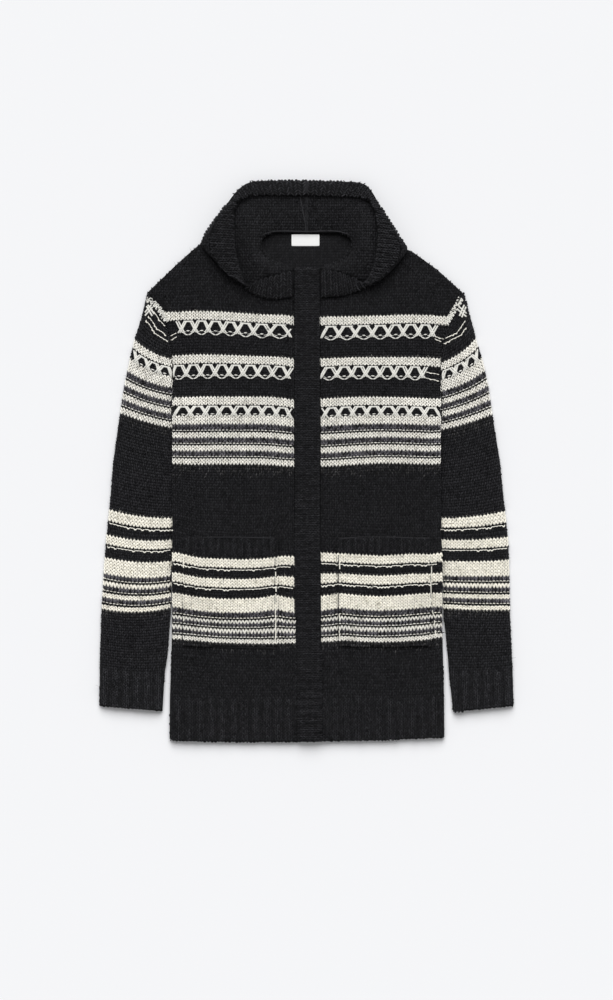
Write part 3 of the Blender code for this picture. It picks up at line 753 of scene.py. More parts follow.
def lay_yarn(name, strands, thickness, ground, yarn, smooth=3, slot="mohair_knit"):
    """One mesh of many lengths of yarn. A strand is a list of points (x, height above the hem, height of
    its middle above the cloth, share of the thickness)."""
    curve = bpy.data.curves.new(name, "CURVE")
    curve.dimensions = "3D"
    curve.bevel_depth = thickness / 2 * MM
    curve.bevel_resolution = 1
    curve.resolution_u = smooth
    curve.use_fill_caps = True
    for strand in strands:
        spline = curve.splines.new("NURBS")
        spline.points.add(len(strand) - 1)
        for point, (x, y, lift, share) in zip(spline.points, strand):
            start = Vector((x * MM, (y - CENTRE_Y) * MM, RAY_START))
            hits = [tree.ray_cast(start, DOWN)[0] for tree in ground]
            level = max([0.0] + [hit.z for hit in hits if hit])
            point.co = (start.x, start.y, level + lift * MM, 1.0)
            point.radius = share
        spline.order_u = 3
        spline.use_endpoint_u = True
    piece = bpy.data.objects.new(name, curve)
    bpy.context.scene.collection.objects.link(piece)
    only(piece)
    bpy.ops.object.convert(target="MESH")
    piece = bpy.context.active_object
    piece.data.shade_smooth()
    layer = piece.data.attributes.new("yarn", "FLOAT_COLOR", "POINT")
    layer.data.foreach_set("color", np.tile((*YARNS[yarn][1], 1.0), len(piece.data.vertices)))
    sew_in(piece, cream_yarn if yarn in CREAM_YARNS else dark_yarn, slot)


def placed(strand, place):
    """A strand drawn across and along the knitting, moved to where that lies on the garment."""
    return [(*map(float, place(across, level)), lift + ON_TOP, share)
            for across, level, lift, share in strand]


def groove_shade_strand(start, stop, level, wave, peaks):
    """A thin dark strand that paints the shade of the groove under a cream stripe; it waves up over each
    crossing.
    """
    spots = [start] + [spot for spot in peaks if start < spot < stop] + [stop]
    strand = []
    for near, far in zip(spots, spots[1:]):
        strand.append((near, level + wave, 0.4, 1.0))
        strand.append(((near + far) / 2, level - wave, 0.4, 1.0))
    return strand + [(stop, level, 0.4, 1.0)]


# A bead's loop: share of the stitch, of the bead's depth and of its thickness
BEAD = [(0.06, 0.1, 0.35), (0.3, 0.8, 0.9), (0.55, 1.0, 1.0), (0.8, 0.7, 0.9)]
BEADED_WAVE = 14.0  # length of a wave of the groove above the beads


def beads(start, stop, level, large=0.35, droop=1.1):
    """The edge under the groove: one loop for each stitch, a share of them large and hanging lower."""
    strand, across = [], start
    while across < stop - STITCH:
        low = droop * (2.4 if draw.random() < large else draw.uniform(0.5, 1.2))
        thick = 0.75 + 0.25 * low
        for share, drop, width in BEAD:
            strand.append((across + share * STITCH, level - low * drop, 0.5, width * thick))
        across += STITCH * draw.uniform(0.9, 1.1)
    return strand


def beaded_edge(start, stop, level, inset=0.0):
    """The groove's painted shade and the beads under a cream stripe, drawn across and along the knitting."""
    groove = groove_shade_strand(start, stop, level - 0.5, 0.25, np.arange(start, stop, BEADED_WAVE))
    return groove, beads(start + inset, stop, level - 2.1)


# Each arm of a crossing is two yarns, an outer and an inner one: how far short of the next arm it starts,
# and how far past the crossing's middle it passes and ends
ARM_YARNS = [dict(short=2.4, through=1.6, end=2.0), dict(short=5.6, through=-1.5, end=4.8)]


def crossed_row(centres, start, stop, line, cross, foot, closed):
    """Strands of one lattice row, drawn across and along the knitting. The numbers in a strand are offsets
    in millimetres from the row's line, crossing and foot, then the point's height and thickness."""
    strands = []
    for i, middle in enumerate(centres):
        before = (middle - centres[i - 1]) / 2 if i else (centres[1] - middle) / 2
        after = (centres[i + 1] - middle) / 2 if i + 1 < len(centres) else before
        for hand, reach in ((-1, before), (1, after)):
            for yarn in ARM_YARNS:
                top = middle + hand * (reach - yarn["short"] + draw.uniform(-0.7, 0.5))
                through = middle + hand * yarn["through"] + draw.uniform(-0.4, 0.4)
                end = middle - hand * yarn["end"] + draw.uniform(-0.4, 0.4)
                if not start < top < stop:
                    continue
                height = 1.5 if hand > 0 else 0.7
                strand = [(top, line - 1.2, 0.5, 0.9), ((top + through) / 2, line - cross * 0.5, 0.9, 1.0),
                          (through, line - cross, height, 1.05), (end, line - foot, 0.4, 0.75)]
                strands.append([(min(max(across, start), stop), *rest) for across, *rest in strand])
    for left, right in zip(centres, centres[1:]):
        # The opening between two crossings: a domed top, a bar low down, and in an open row two loops below
        centre = (left + right) / 2
        strands.append([(left + 3.5, line - 1.6, 0.4, 0.6), (centre, line - 2.7, 0.6, 1.4),
                        (right - 3.5, line - 1.6, 0.4, 0.6)])
        bar = line - cross - (1.8 if closed else 2.6)
        tilt = draw.uniform(-0.5, 0.5)
        strands.append([(centre - 2.6, bar - tilt, 0.3, 0.25), (centre - 0.9, bar, 0.5, 0.75),
                        (centre + 0.9, bar, 0.5, 0.75), (centre + 2.6, bar + tilt, 0.3, 0.25)])
        if closed:
            continue
        low = line - foot
        for hand, end in ((1, left), (-1, right)):
            strands.append([(end + hand * 3.0, low + 3.0, 0.4, 0.3),
                            (end + hand * 5.5, low + 0.6, 0.4, 0.35),
                            (centre - hand * 3.2, bar - 1.6, 0.3, 0.3)])
            strands.append([(end + hand * 2.4, low + 0.6, 0.4, 0.5),
                            (centre - hand * 4.6, low - 2.0, 0.5, 0.72),
                            (centre - hand * 1.9, low - 3.5, 0.5, 0.8),
                            (centre - hand * 0.3, low - 3.4, 0.4, 0.45)])
    return strands


def lay_trimmings(name, crossed, loops, grooves, thickness, ground):
    """Lays the three kinds of yarn of a front or a sleeve; the dark strands in the grooves are painted shade.
    """
    lay_yarn(name + "_crossed_strands", crossed, thickness, ground, "neutral")
    lay_yarn(name + "_beads", loops, 1.7, ground, "cream", 1)
    lay_yarn(name + "_grooves", grooves, 1.15, ground, "line", 2)


LATTICE_GROOVE = dict(above=0.3, wave=0.9)
front_grounds = {side: [shape_of(fronts[side]), shape_of(pockets[side])] for side in SIDE_NAMES}
for side, name in SIDE_NAMES.items():
    start, stop = ROW_ENDS[side]
    crossed, grooves, loops = [], [], []
    for row, centres in zip(LATTICE, CROSSINGS[side]):
        crossed += crossed_row(centres, start, stop, **row)
        grooves.append(groove_shade_strand(start, stop, row["line"] - LATTICE_GROOVE["above"], LATTICE_GROOVE["wave"],
                                 centres))
    for level in BEADED:
        groove, loop = beaded_edge(start, stop, level)
        grooves.append(groove)
        loops.append(loop)
    crossed, grooves, loops = ([placed(strand, front_place(side)) for strand in strands]
                               for strands in (crossed, grooves, loops))
    for (x, y), (x_end, y_end) in BEADED_ENDS[side]:
        slope = (y_end - y) / (x_end - x)
        loops.append([(across, level + slope * (across - x), lift + ON_TOP, share)
                      for across, level, lift, share in beads(x, x_end, y, 0.3, 0.5)])
    lay_trimmings(f"front_{name}", crossed, loops, grooves, 2.6, front_grounds[side])

# ---- Pocket seams ----
# The pockets are sewn down with cream yarn, whose stitches show over the dark stripes, and beside it the
# edge of the cloth is in shade. Black yarn closes the pocket's foot and lies along its mouth.
POCKET_SEAMS = {
    LEFT: [[(-46.4, 254.0), (-46.2, 247.0)], [(-46.0, 232.0), (-45.5, 224.0)],
           [(-46.2, 221.0), (-45.8, 214.0)],
           [(-46.2, 203.0), (-47.0, 190.0), (-45.6, 181.0), (-46.6, 173.0), (-45.6, 163.0), (-46.6, 152.0)],
           [(-184.6, 268.0), (-184.0, 260.0)], [(-183.8, 187.0), (-184.2, 180.0)]],
    RIGHT: [[(49.3, 269.0), (49.9, 258.0)], [(49.0, 190.0), (49.9, 180.0)], [(49.0, 166.0), (49.8, 156.0)],
            [(184.5, 277.0), (186.5, 266.0)], [(187.0, 262.0), (188.0, 252.0), (186.0, 236.0)],
            [(186.2, 234.0), (187.0, 222.0), (186.0, 206.0)], [(188.5, 196.0), (190.5, 189.0)],
            [(192.0, 181.0), (192.2, 173.0)], [(193.5, 166.0), (193.6, 158.0)]],
}
# A thin dark strand beside each seam is painted shade at the edge of the cloth.
SEAM_SHADES = {
    LEFT: [[(-47.0, 276.0), (-47.4, 256.0), (-47.0, 236.0), (-47.2, 205.0)],
           [(-185.2, 276.0), (-185.0, 240.0), (-184.8, 200.0), (-186.5, 150.0)]],
    RIGHT: [[(47.8, 279.0), (48.4, 262.0), (48.0, 236.0), (48.4, 200.0), (47.6, 152.0)],
            [(184.0, 272.0), (185.6, 250.0), (185.0, 214.0), (188.0, 190.0)]],
}
POCKET_MOUTHS = {
    LEFT: [(-186.0, 303.5), (-170.0, 306.0), (-120.0, 306.8), (-80.0, 306.0), (-50.0, 305.0)],
    RIGHT: [(50.0, 303.0), (60.0, 306.0), (110.0, 307.0), (160.0, 305.5), (184.0, 305.0)],
}
MOUTH_BELOW = 1.0
FOOT_LEVEL, FOOT_WAVE = 141.3, 1.6
FOOT_SPOTS = np.arange(-187.0, -44.0, 2.6)


def pocket_foot(side):
    """The yarn along the pocket's foot, up and down through the cloth."""
    strand = []
    for k, spot in enumerate(FOOT_SPOTS):
        x, y = -side * spot, FOOT_LEVEL + FOOT_WAVE * math.sin(spot)
        strand.append((x, y - float(sag(side, x, y)), 0.4 + 1.2 * (k % 2), 1.0))
    return strand


for side, name in SIDE_NAMES.items():
    ground = front_grounds[side]
    mouth = [(x, y - MOUTH_BELOW, 0.7, 1.0) for x, y in POCKET_MOUTHS[side]]
    lay_yarn(f"pocket_{name}_mouth", [mouth], 2.2, ground, "black")
    lay_yarn(f"pocket_{name}_foot", [pocket_foot(side)], 3.0, ground[:1], "black", 1)
    for kind, seams, thickness, yarn in (("cream", POCKET_SEAMS, 1.8, "cream"),
                                         ("dark", SEAM_SHADES, 0.9, "line")):
        strands = [[(x, y, 1.2, 1.0) for x, y in seam] for seam in seams[side]]
        lay_yarn(f"pocket_{name}_{kind}_seam", strands, thickness, ground, yarn, 2)

# ---- Sleeves ----
# Each sleeve is a knitted tube pressed flat, with its own two groups of stripes and a ribbed cuff. The
# rows run square to the sleeve, so on the slanting upper arm the stripes climb towards the outside.

# Both edges of a sleeve: height above the hem, and distance from the centre line
INNER_EDGE = [(40, 203), (142, 202.5), (200, 201.5), (549, 200),
              (597, 205), (627, 211), (645, 222), (674, 236)]
OUTER_EDGE = {
    LEFT: [(53, 311), (130, 310.3), (190, 308), (262, 304), (300, 301), (355, 295.5), (420, 290),
           (475, 282.5), (525, 275), (565, 267), (602, 258.5), (634, 248), (674, 238)],
    RIGHT: [(53, 311), (130, 308.5), (190, 305.5), (262, 304.5), (300, 303), (355, 297), (420, 290.5),
            (475, 281.5), (530, 273.5), (568, 265.5), (601, 255), (634, 246.5), (674, 237)],
}
# How far a stripe lies below its level: at the body, how much more at the outer edge, and the bulge between
SLEEVE_SAG = {
    LEFT: [
        # level, inner, outer, bulge
        (40, 0, -8.5, 10), (197, 0, 2.2, 24), (245, 0, -3.7, 21), (268, 0, -5.2, 18), (302, 0, -7.5, 20),
        (334, 0, -12.7, 16), (471, 0, -23, 8), (530, 0, -25.5, 16), (573, 0, -30, 16), (612, 0, -39, 0),
    ],
    RIGHT: [
        (40, 0, -8.5, 10), (197, 1, 3.0, 5), (245, 0, 0.7, 3), (268, 0, -1.5, 6), (302, 0, -3.7, 9),
        (334, 0, -10.5, 13), (471, 3, -24, 7), (530, 6, -32, 14), (573, 6, -38, 12), (612, 3, -42, 0),
    ],
}
SAG_ROUNDS = 6  # rounds that find the level of a place from its sag


def sleeve_sag(side, level, outward):
    table = np.array(SLEEVE_SAG[side], float)
    inner, outer, bulge = (np.interp(level, table[:, 0], table[:, k]) for k in (1, 2, 3))
    outward = np.clip(outward, 0, 1)
    return inner + outer * outward + bulge * outward * (1 - outward)


def sleeve_edges(side, y):
    """How far the inner and the outer edge lie from the centre line."""
    return np.interp(y, *zip(*INNER_EDGE)), np.interp(y, *zip(*OUTER_EDGE[side]))


def sleeve_outward(side, x, y):
    """How far across the sleeve a point lies, from 0 at the body to 1 at the outer edge."""
    inner, outer = sleeve_edges(side, y)
    return (np.abs(x) - inner) / np.maximum(outer - inner, 6.0)


def sleeve_level(side, outward, y):
    """The level of the row that this place lies in."""
    level = y
    for _ in range(SAG_ROUNDS):
        level = y + sleeve_sag(side, level, outward)
    return level


def sleeve_point(side, outward, level):
    """The place on the garment of a point a share outward across the sleeve, in the row of this level."""
    y = level - sleeve_sag(side, level, outward)
    inner, outer = sleeve_edges(side, y)
    return side * (inner + outward * (outer - inner)), y


def sleeve_width(side, level):
    """Length of a row of knitting across the sleeve."""
    inner = sleeve_point(side, 0.0 * level, level)
    outer = sleeve_point(side, 0.0 * level + 1.0, level)
    return np.maximum(np.hypot(outer[0] - inner[0], outer[1] - inner[1]), 8.0)


def sleeve_place(side):
    """Rows are measured from the outer edge inwards."""
    def place(across, level):
        level = np.asarray(level, float)
        return sleeve_point(side, 1 - across / sleeve_width(side, level), level)
    return place


def sleeve_chart(side):
    def place(x, y):
        outward = sleeve_outward(side, x, y)
        level = sleeve_level(side, outward, y)
        return (1 - outward) * sleeve_width(side, level), level
    return place


# The sleeves' stripes lie at other heights than the body's
SLEEVE_STRIPES = [
    (700.0, "black"), (573.0, "cream"), (561.5, "black"), (546.5, "cream"),
    (529.5, "mixed"), (521.3, "dashed"), (519.6, "line"), (517.7, "cream"),
    (509.1, "mixed"), (501.9, "dashed"), (500.2, "line"), (498.4, "cream"),
    (489.4, "mixed"), (482.1, "dashed"), (480.4, "line"), (478.6, "cream"), (469.2, "black"),
    (334.7, "cream"), (320.1, "black"), (302.2, "cream"), (289.2, "black"),
    (270.2, "cream"), (247.7, "mixed"), (242.0, "dashed"), (240.3, "line"), (238.0, "cream"),
    (232.0, "mixed"), (226.3, "dashed"), (224.8, "line"), (222.4, "cream"),
    (216.1, "mixed"), (210.4, "dashed"), (208.8, "line"), (206.4, "cream"), (200.1, "black"),
    (30.0, "black"),
]
SLEEVE_FLECKS = [(30.0, 0.0), (184.0, 0.0), (200.1, 0.9), (201.0, 0.0),
                 (450.0, 0.0), (469.2, 0.9), (470.0, 0.0)]
CUFF_RIBS = dict(pitch=16.0, edge=108.0)
SLEEVE_CUTS = np.arange(70.0, 660.0, 16.0)

# The sleeve's lattice row, with its crossings and ends from the outer edge inwards, and its beaded edges
SLEEVE_LATTICE = dict(line=561.0, cross=10.4, foot=15.0, closed=True)
SLEEVE_CROSSINGS = [11.0, 30.6, 48.0, 66.5]
SLEEVE_ROW_ENDS = (2.5, 67.0)
SLEEVE_GROOVE = dict(start=1.0, stop=68.0, level=560.8, wave=0.9)
SLEEVE_BEADED = [320.1, 289.2]
SLEEVE_BEADED_ENDS = (1.0, 102.0)
BEADS_INSET = 1.0

# Over the cap of the sleeve the yoke's stripe and its beaded lines turn down beside the armhole seam. All
# are drawn from the picture's left to its right.
CAP_LINE = {
    LEFT: [(-241.0, 657.0), (-234.7, 655.6), (-224.7, 645.0), (-218.2, 633.0), (-210.7, 624.9)],
    RIGHT: [(212.5, 621.5), (219.0, 632.0), (226.5, 645.0), (233.0, 655.0), (237.0, 663.5)],
}
CAP_BEADS = {
    LEFT: [
        [(-231.0, 648.0), (-222.0, 634.5), (-213.2, 623.6), (-206.5, 620.5)],
        [(-237.0, 638.5), (-222.8, 618.0), (-206.2, 606.5)],
        [(-240.5, 632.0), (-224.7, 609.9), (-206.2, 599.0)],
    ],
    RIGHT: [
        [(207.8, 604.0), (226.5, 614.0), (238.5, 631.5)],
        [(205.2, 596.5), (231.5, 609.0), (240.5, 624.5)],
    ],
}
CAP_CROSS = {
    LEFT: [
        [(-230.5, 651.0), (-237.0, 644.0), (-242.0, 638.0)],
        [(-232.5, 654.0), (-238.5, 647.5), (-242.0, 643.0)],
        [(-240.0, 652.0), (-236.5, 646.0), (-231.5, 637.5)],
        [(-238.0, 654.0), (-234.0, 648.5), (-228.5, 640.5)],
    ],
    RIGHT: [
        [(226.0, 648.0), (232.5, 642.0), (239.5, 636.5)],
        [(228.5, 651.5), (235.0, 645.5), (240.0, 641.0)],
        [(236.5, 654.0), (233.0, 646.0), (229.5, 637.5)],
        [(239.0, 651.0), (236.5, 645.0), (233.0, 635.5)],
    ],
}


def walked(path):
    """A path's corners, and how far along it each of them lies."""
    corners = np.array(path, float)
    return corners, np.concatenate([[0.0], np.cumsum(np.hypot(*np.diff(corners, axis=0).T))])


def laid_along(path):
    """The place of a point so far along a path that runs to the right, and so far above it."""
    corners, runs = walked(path)

    def place(across, level):
        x, y, x_before, y_before, x_after, y_after = (
            np.interp(across + step, runs, corners[:, k]) for step in (0.0, -3.0, 3.0) for k in (0, 1))
        size = np.hypot(x_after - x_before, y_after - y_before)
        return x - level * (y_after - y_before) / size, y + level * (x_after - x_before) / size
    return place, runs[-1]


CAP_STRIPE_ROWS = (0.9, 4.6)  # heights above the dark line


def cap_stripe(length):
    """The cream stripe over the cap: two rows of short strands that lean to and fro."""
    strands = []
    for row in CAP_STRIPE_ROWS:
        for step in np.arange(1.0, length, STITCH / 2):
            lean = 0.9 if round(step / STITCH * 2) % 2 else -0.9
            strands.append([(step - lean, row, 0.7, 0.6), (step - lean * 0.4, row + 1.8, 0.9, 0.95),
                            (step + lean, row + 4.4, 0.7, 0.7)])
    return strands


sleeve_knit = knit_material("black_and_cream_sleeve_mohair", SLEEVE_STRIPES)
for side, name in SIDE_NAMES.items():
    sleeve = cloth(f"sleeve_{name}", 1, 1, SLEEVE_CUTS, ribbed=True)
    chart(sleeve, sleeve_chart(side))
    sew_in(sleeve, sleeve_knit, "mohair_knit", f"sleeve_{name}")
    ground = [shape_of(sleeve), shape_of(fronts[side])]
    place = sleeve_place(side)
    stitches = knit_stitches(f"sleeve_{name}", SLEEVE_STRIPES, SLEEVE_FLECKS, (-2.0, 118.0), (30.0, 680.0),
                             place, ground[0], ground[1:], ribs(**CUFF_RIBS), black_painted_light=1.2)

    crossed = crossed_row(SLEEVE_CROSSINGS, *SLEEVE_ROW_ENDS, **SLEEVE_LATTICE)
    grooves, loops = [groove_shade_strand(**SLEEVE_GROOVE, peaks=SLEEVE_CROSSINGS)], []
    for level in SLEEVE_BEADED:
        groove, loop = beaded_edge(*SLEEVE_BEADED_ENDS, level, BEADS_INSET)
        grooves.append(groove)
        loops.append(loop)
    crossed, grooves, loops = ([placed(strand, place) for strand in strands]
                               for strands in (crossed, grooves, loops))
    for path in CAP_BEADS[side]:
        along, length = laid_along(path)
        loops.append(placed(beads(0.0, length, 0.0, 0.4, 0.9), along))
    along, length = laid_along(CAP_LINE[side])
    grooves.append(placed(groove_shade_strand(0.0, length, 0.0, 0.4, np.arange(4.0, length, 9.0)), along))
    crossed += [[(x, y, 1.3 + 0.6 * (k > 1), 0.95) for x, y in strand]
                for k, strand in enumerate(CAP_CROSS[side])]
    crossed += [placed(strand, along) for strand in cap_stripe(length)]
    lay_trimmings(f"sleeve_{name}", crossed, loops, grooves, 2.8, ground)

# ---- Front bands ----
# A rib band runs up each front edge from the hem to the throat, knitted sideways so that its ribs lie
# across it. The one on the picture's left lies on the other.
rib = knit_material("black_rib_mohair", across=True)
BAND_RIB = 12.8
BAND_BOTTOM = -2.0


def band_ridge(across, level):
    return 0.7 - 0.3 * np.cos(2 * math.pi * (across - BAND_BOTTOM) / BAND_RIB)


bands = {}
for name, cut in (("left", (0.0386, 0.710)), ("right", (0.029, 0.706))):
    band = cloth(f"front_band_{name}", 1, 1, ribbed=True)
    chart(band, straight)
    sew_in(band, rib, "rib_knit", f"front_band_{name}")
    bands[name] = band
    stitches = []
    if name == "left":
        covers = solids("hood_left", "hood_right", "hood_band_left", "hood_band_right")
        stitches = knit_stitches("front_band_left", PLAIN, NO_FLECKS, (-4.0, 712.0), (-24.0, 26.0),
                                 lambda across, level: (level, across), shape_of(band), covers, band_ridge,
                                 black_painted_light=0.85)

# ---- Hood ----
# Two halves of plain black knit with a seam down the back of the head. The hood lies open, so its back
# shows inside, its sides roll inwards round the neck, and its crown is folded away underneath.
plain_knit = knit_material("black_mohair")
HOOD_WALES = {LEFT: (-170.0, -0.5), RIGHT: (0.5, 170.0)}
hoods = {}
for side, name in SIDE_NAMES.items():
    hood = cloth(f"hood_{name}", 1, 1)
    chart(hood, straight)
    sew_in(hood, plain_knit, "mohair_knit", f"hood_{name}")
    stitches = knit_stitches(f"hood_{name}", PLAIN, NO_FLECKS, HOOD_WALES[side], (640.0, 850.0), straight,
                             shape_of(hood), solids("hood_band_left", "hood_band_right", "front_band_left"))
    hoods[side] = hood

# The back of the neck shows inside the hood, so it has its stitches too.
covers = solids("hood_left", "hood_right", "front_left", "front_right", "front_band_left", "neck_label")
knit_stitches("neck_back", PLAIN, NO_FLECKS, (-78.0, 78.0), (700.0, 768.0), straight, shape_of(back), covers,
              raised=-0.7, black_painted_light=0.72, hair_share=0.0)

# Thick black yarn closes the centre seam. A ridge leans beside it, and another follows the seam of the neck.
CENTRE_SEAM_YARNS = (-1.3, 1.3)
hood_ground = [shape_of(hood) for hood in hoods.values()]
centre_seam = [[(x, y, -0.6, 1.0) for y in np.linspace(763.0, 816.0, 10)] for x in CENTRE_SEAM_YARNS]
lay_yarn("hood_centre_seam", centre_seam, 3.0, hood_ground, "black")
ridges = [
    [(-1.0, 764.5, 0.9, 0.7), (-2.0, 778.0, 1.0, 1.0), (-6.0, 797.0, 1.0, 1.0), (-9.8, 817.0, 0.7, 0.8)],
    [(-67.0, 758.0, 0.6, 0.5), (-55.0, 764.5, 0.6, 0.9), (-30.0, 765.0, 0.7, 1.0), (-1.0, 763.8, 0.6, 1.0),
     (30.0, 765.3, 0.7, 1.0), (54.0, 764.2, 0.6, 0.9), (66.0, 758.0, 0.6, 0.5)],
]
# The ridges' lighter black yarn is a painted highlight, on top of the light the ridges catch.
lay_yarn("hood_seam_ridges", ridges, 1.7, hood_ground, "seam")

# ---- Hood bands ----
# A rib band is sewn round the hood's opening. It lies flat at the top and at the throat and folds over at
# the sides, and its ribs stand square to its edge.
BAND_EDGES = {
    LEFT: [
        # x and height of the inner edge, then of the outer edge, from the centre of the back to the throat
        (-0.3, 819, -0.3, 840), (-36, 819, -40, 840), (-71, 819, -82, 838.5), (-94, 814.5, -103, 826),
        (-107.5, 802, -121, 802), (-110, 782, -132, 784), (-109.5, 760, -142, 762), (-108, 739, -145, 741),
        (-104.5, 717, -134, 718), (-98, 697, -117, 699), (-89, 681.5, -97.5, 686.5), (-72, 690, -78, 669.5),
        (-50, 696.5, -52, 663), (-21, 704, -21, 666),
    ],
    RIGHT: [
        (0.3, 819, 0.3, 840), (36, 818, 40, 839), (69, 817, 81, 837), (87, 814, 97, 825),
        (98, 806, 110, 801.5), (105.5, 784, 122, 781), (108, 760, 132, 758.5), (107, 739, 141, 736),
        (103.5, 717, 132, 715), (96, 697.5, 114, 694), (87, 687, 96, 684.5), (66, 696, 72, 673.5),
        (47, 702.5, 49, 667), (21, 706.5, 21, 666),
    ],
}
RIBS_A_ROW = 3.0  # ribs from one row of the table to the next
RIBS_IN_A_HALF = 39


def hood_band_place(side):
    """Rows are counted outwards from the inner edge, and each rib is one stitch wide."""
    table = np.array(BAND_EDGES[side], float)

    def place(across, level):
        at = across / STITCH / RIBS_A_ROW
        in_x, in_y, out_x, out_y = (np.interp(at, np.arange(len(table)), table[:, k]) for k in range(4))
        share = level / np.hypot(out_x - in_x, out_y - in_y)
        return in_x + (out_x - in_x) * share, in_y + (out_y - in_y) * share
    return place


def rib_cloth(across, level):
    """Cloth that is ribs all over, so its stitches stand up and lie close together."""
    return np.full(len(across), 0.99)


HOOD_BAND_WALES = (0.0, RIBS_IN_A_HALF * STITCH)
hood_bands = {}
for side, name in SIDE_NAMES.items():
    hood_band = cloth(f"hood_band_{name}", 1, 1, ribbed=True)
    chart(hood_band, straight)
    sew_in(hood_band, rib, "rib_knit", f"hood_band_{name}")
    covers = solids("front_band_left")
    stitches = knit_stitches(f"hood_band_{name}", PLAIN, NO_FLECKS, HOOD_BAND_WALES, (-2.0, 40.0),
                             hood_band_place(side), shape_of(hood_band), covers, rib_cloth,
                             raised=0.2, black_painted_light=0.97)
    hood_bands[side] = hood_band

# Black yarn closes the hood bands' seam at the centre and their seams to the front band.
THROAT_SEAMS = (-19.6, 19.4)
band_ground = [shape_of(piece) for piece in (*hood_bands.values(), bands["left"])]
closing = [[(x, y, -0.5, 1.0) for y in np.linspace(816.0, 839.5, 6)] for x in CENTRE_SEAM_YARNS]
closing += [[(x, y, -0.9, 1.0) for y in np.linspace(663.0, 704.0, 8)] for x in THROAT_SEAMS]
lay_yarn("band_seams", closing, 3.4, band_ground, "black", slot="rib_knit")

# It also lies along both edges of the front band, which leans a little to the left on its way up.
BAND_FOOT, BAND_LEAN, BAND_LENGTH = 3.4, 3.8, 700  # its middle at the hem, and how far that leans
HALF_BAND = 19.6
body_ground = [shape_of(piece) for piece in (*fronts.values(), *pockets.values(), bands["left"])]
edges = [[(BAND_FOOT - BAND_LEAN * y / BAND_LENGTH + side * HALF_BAND, y, -1.1, 1.0)
          for y in np.linspace(0.0, 664.0, 34)] for side in SIDE_NAMES]
lay_yarn("front_band_seams", edges, 3.0, body_ground, "black", 1, "rib_knit")

# ---- Edges ----
# Over the garment's outer edges stands the rounded end of each row or rib, in the yarn of its row.
HOOD_EDGE = [(-158, 743), (-152, 760), (-139, 781), (-125, 798.5), (-102, 823), (-81, 838),
             (-40, 840.6), (0, 840.2), (40, 839.2), (80, 836.2), (96, 822), (113, 798), (126.5, 778),
             (139, 757), (151, 739)]
HEM_EDGE = [(205, 5.5), (112, 1.5), (60, 0.5), (0, -1), (-100, -1.5), (-195, 0), (-204, 3)]
CUFF_EDGE = {LEFT: [(-216.5, 45.0), (-310.5, 53.0)], RIGHT: [(310.5, 53.0), (220.5, 44.0)]}
KNOB_RINGS = [(0.4, 1.0, 0.0), (0.85, 0.8, 0.0)]
KNOB_ROOT, KNOB_RISE = 3.5, 1.9  # how far inside the edge a knob starts, and half its height
STEP = 2.0  # the edge's direction is taken over this length each way


def knobs(name, path, pitch, out, level, yarn_at=None):
    """Rounded ends of rows or ribs that stand over an edge, to the left of a path along it."""
    corners, runs = walked(path)
    spots = np.arange(pitch / 2, runs[-1], pitch)
    spots = spots + draw.uniform(-0.7, 0.7, len(spots))
    x, y = (np.interp(spots, runs, corners[:, k]) for k in (0, 1))
    dx, dy = (np.interp(spots + STEP, runs, corners[:, k]) - np.interp(spots - STEP, runs, corners[:, k])
              for k in (0, 1))
    size = np.hypot(dx, dy)
    outward = np.stack([-dy / size, dx / size, 0 * size], 1)
    place = np.stack([x, y, level + 0 * x], 1)
    _, body = yarn_colours([yarn_at(height) if yarn_at else "black" for height in y])
    reach = out + draw.uniform(-0.9, 0.5, len(x))
    piece = strand_mesh(name, place - outward * KNOB_ROOT, place + outward * reach[:, None],
                        np.tile(UPWARD, (len(x), 1)), np.full(len(x), pitch * 0.5),
                        np.full(len(x), KNOB_RISE), KNOB_RINGS, 6, body, body)
    sew_in(piece, cream_yarn if yarn_at else dark_yarn, "mohair_knit")


def sleeve_yarn(side):
    """The yarn of the row that ends at this height on a sleeve's outer edge."""
    def yarn_at(y):
        level = sleeve_level(side, 1.0, y)
        return next(yarn for (_, yarn), (low, _) in zip(SLEEVE_STRIPES, SLEEVE_STRIPES[1:]) if level > low)
    return yarn_at


knobs("hood_edge_knobs", HOOD_EDGE, 5.2, 2.5, 6.5)
knobs("hem_knobs", HEM_EDGE, STITCH, 1.7, 3.6)
for side, name in SIDE_NAMES.items():
    knobs(f"cuff_{name}_knobs", CUFF_EDGE[side], STITCH, 1.7, 3.6)
    edge = sorted(((side * x, y) for y, x in OUTER_EDGE[side]), key=lambda corner: -side * corner[1])
    knobs(f"sleeve_{name}_edge_knobs", edge, ROW, 0.5, 4.8, sleeve_yarn(side))

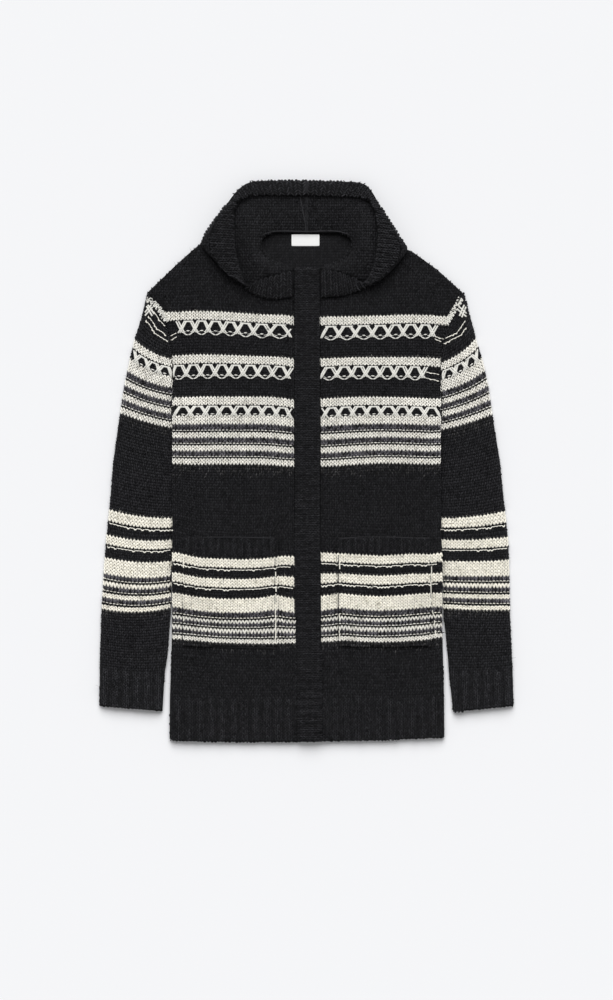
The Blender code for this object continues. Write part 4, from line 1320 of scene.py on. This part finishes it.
# ---- Neck label ----
# A plain off-white woven tab, sewn down at the back of the neck. It is left blank.
LABEL_LIFT = 0.4  # it lies on top of the stitches
label = cloth("neck_label", 1, 2)
places = points(label) + (0.0, -CENTRE_Y, LABEL_LIFT)
label.data.vertices.foreach_set("co", (places * MM).ravel())
label.data.update()
label_tape, tape_surface, weave = new_material("woven_label_tape", 0.6, 0.5)
place = weave.node("TexCoord", output=OBJECT_PLACE)
threads = weave.node("TexWave", {"bands_direction": "Y"},
                     {"Vector": place, "Scale": 650.0, "Distortion": 0.4})
worn = weave.node("TexNoise", None, {"Vector": place, "Scale": 300.0})
weft = mix(weave, threads * 0.5 + worn * 0.5, (0.86, 0.86, 0.85, 1), (0.97, 0.97, 0.96, 1))
weft.into(tape_surface, "Base Color")
relief = weave.node("Bump", None, {"Strength": 0.3, "Distance": 0.0002, "Height": threads})
relief.into(tape_surface, "Normal")
sew_in(label, label_tape, "label_tape", "neck_label")

# ---- Floor and light ----
# A plain pale floor, an even white sky and one soft light from beyond the hood.
FLOOR_SIZE, FLOOR_BELOW = 12.0, 0.0003
FLOOR_COLOUR = (0.90, 0.905, 0.922, 1)
SKY_STRENGTH = 0.36
SUN_STRENGTH, SUN_WIDTH, SUN_TILT = 2.926, math.radians(50), math.radians(-45)

bpy.ops.mesh.primitive_plane_add(size=FLOOR_SIZE, location=(0, 0, -FLOOR_BELOW))
floor = bpy.context.active_object
floor.name = "floor"
floor_material, floor_surface, _ = new_material("pale_floor", 1.0, 0.0)
floor_surface.inputs["Base Color"].default_value = FLOOR_COLOUR
floor.data.materials.append(floor_material)

sky = bpy.data.worlds.new("sky")
sky.use_nodes = True
sky.node_tree.nodes["Background"].inputs["Color"].default_value = (1, 1, 1, 1)
sky.node_tree.nodes["Background"].inputs["Strength"].default_value = SKY_STRENGTH
bpy.context.scene.world = sky

sun_data = bpy.data.lights.new("window", "SUN")
sun_data.energy, sun_data.angle = SUN_STRENGTH, SUN_WIDTH
sun = bpy.data.objects.new("window", sun_data)
bpy.context.scene.collection.objects.link(sun)
sun.rotation_euler = (SUN_TILT, 0, 0)
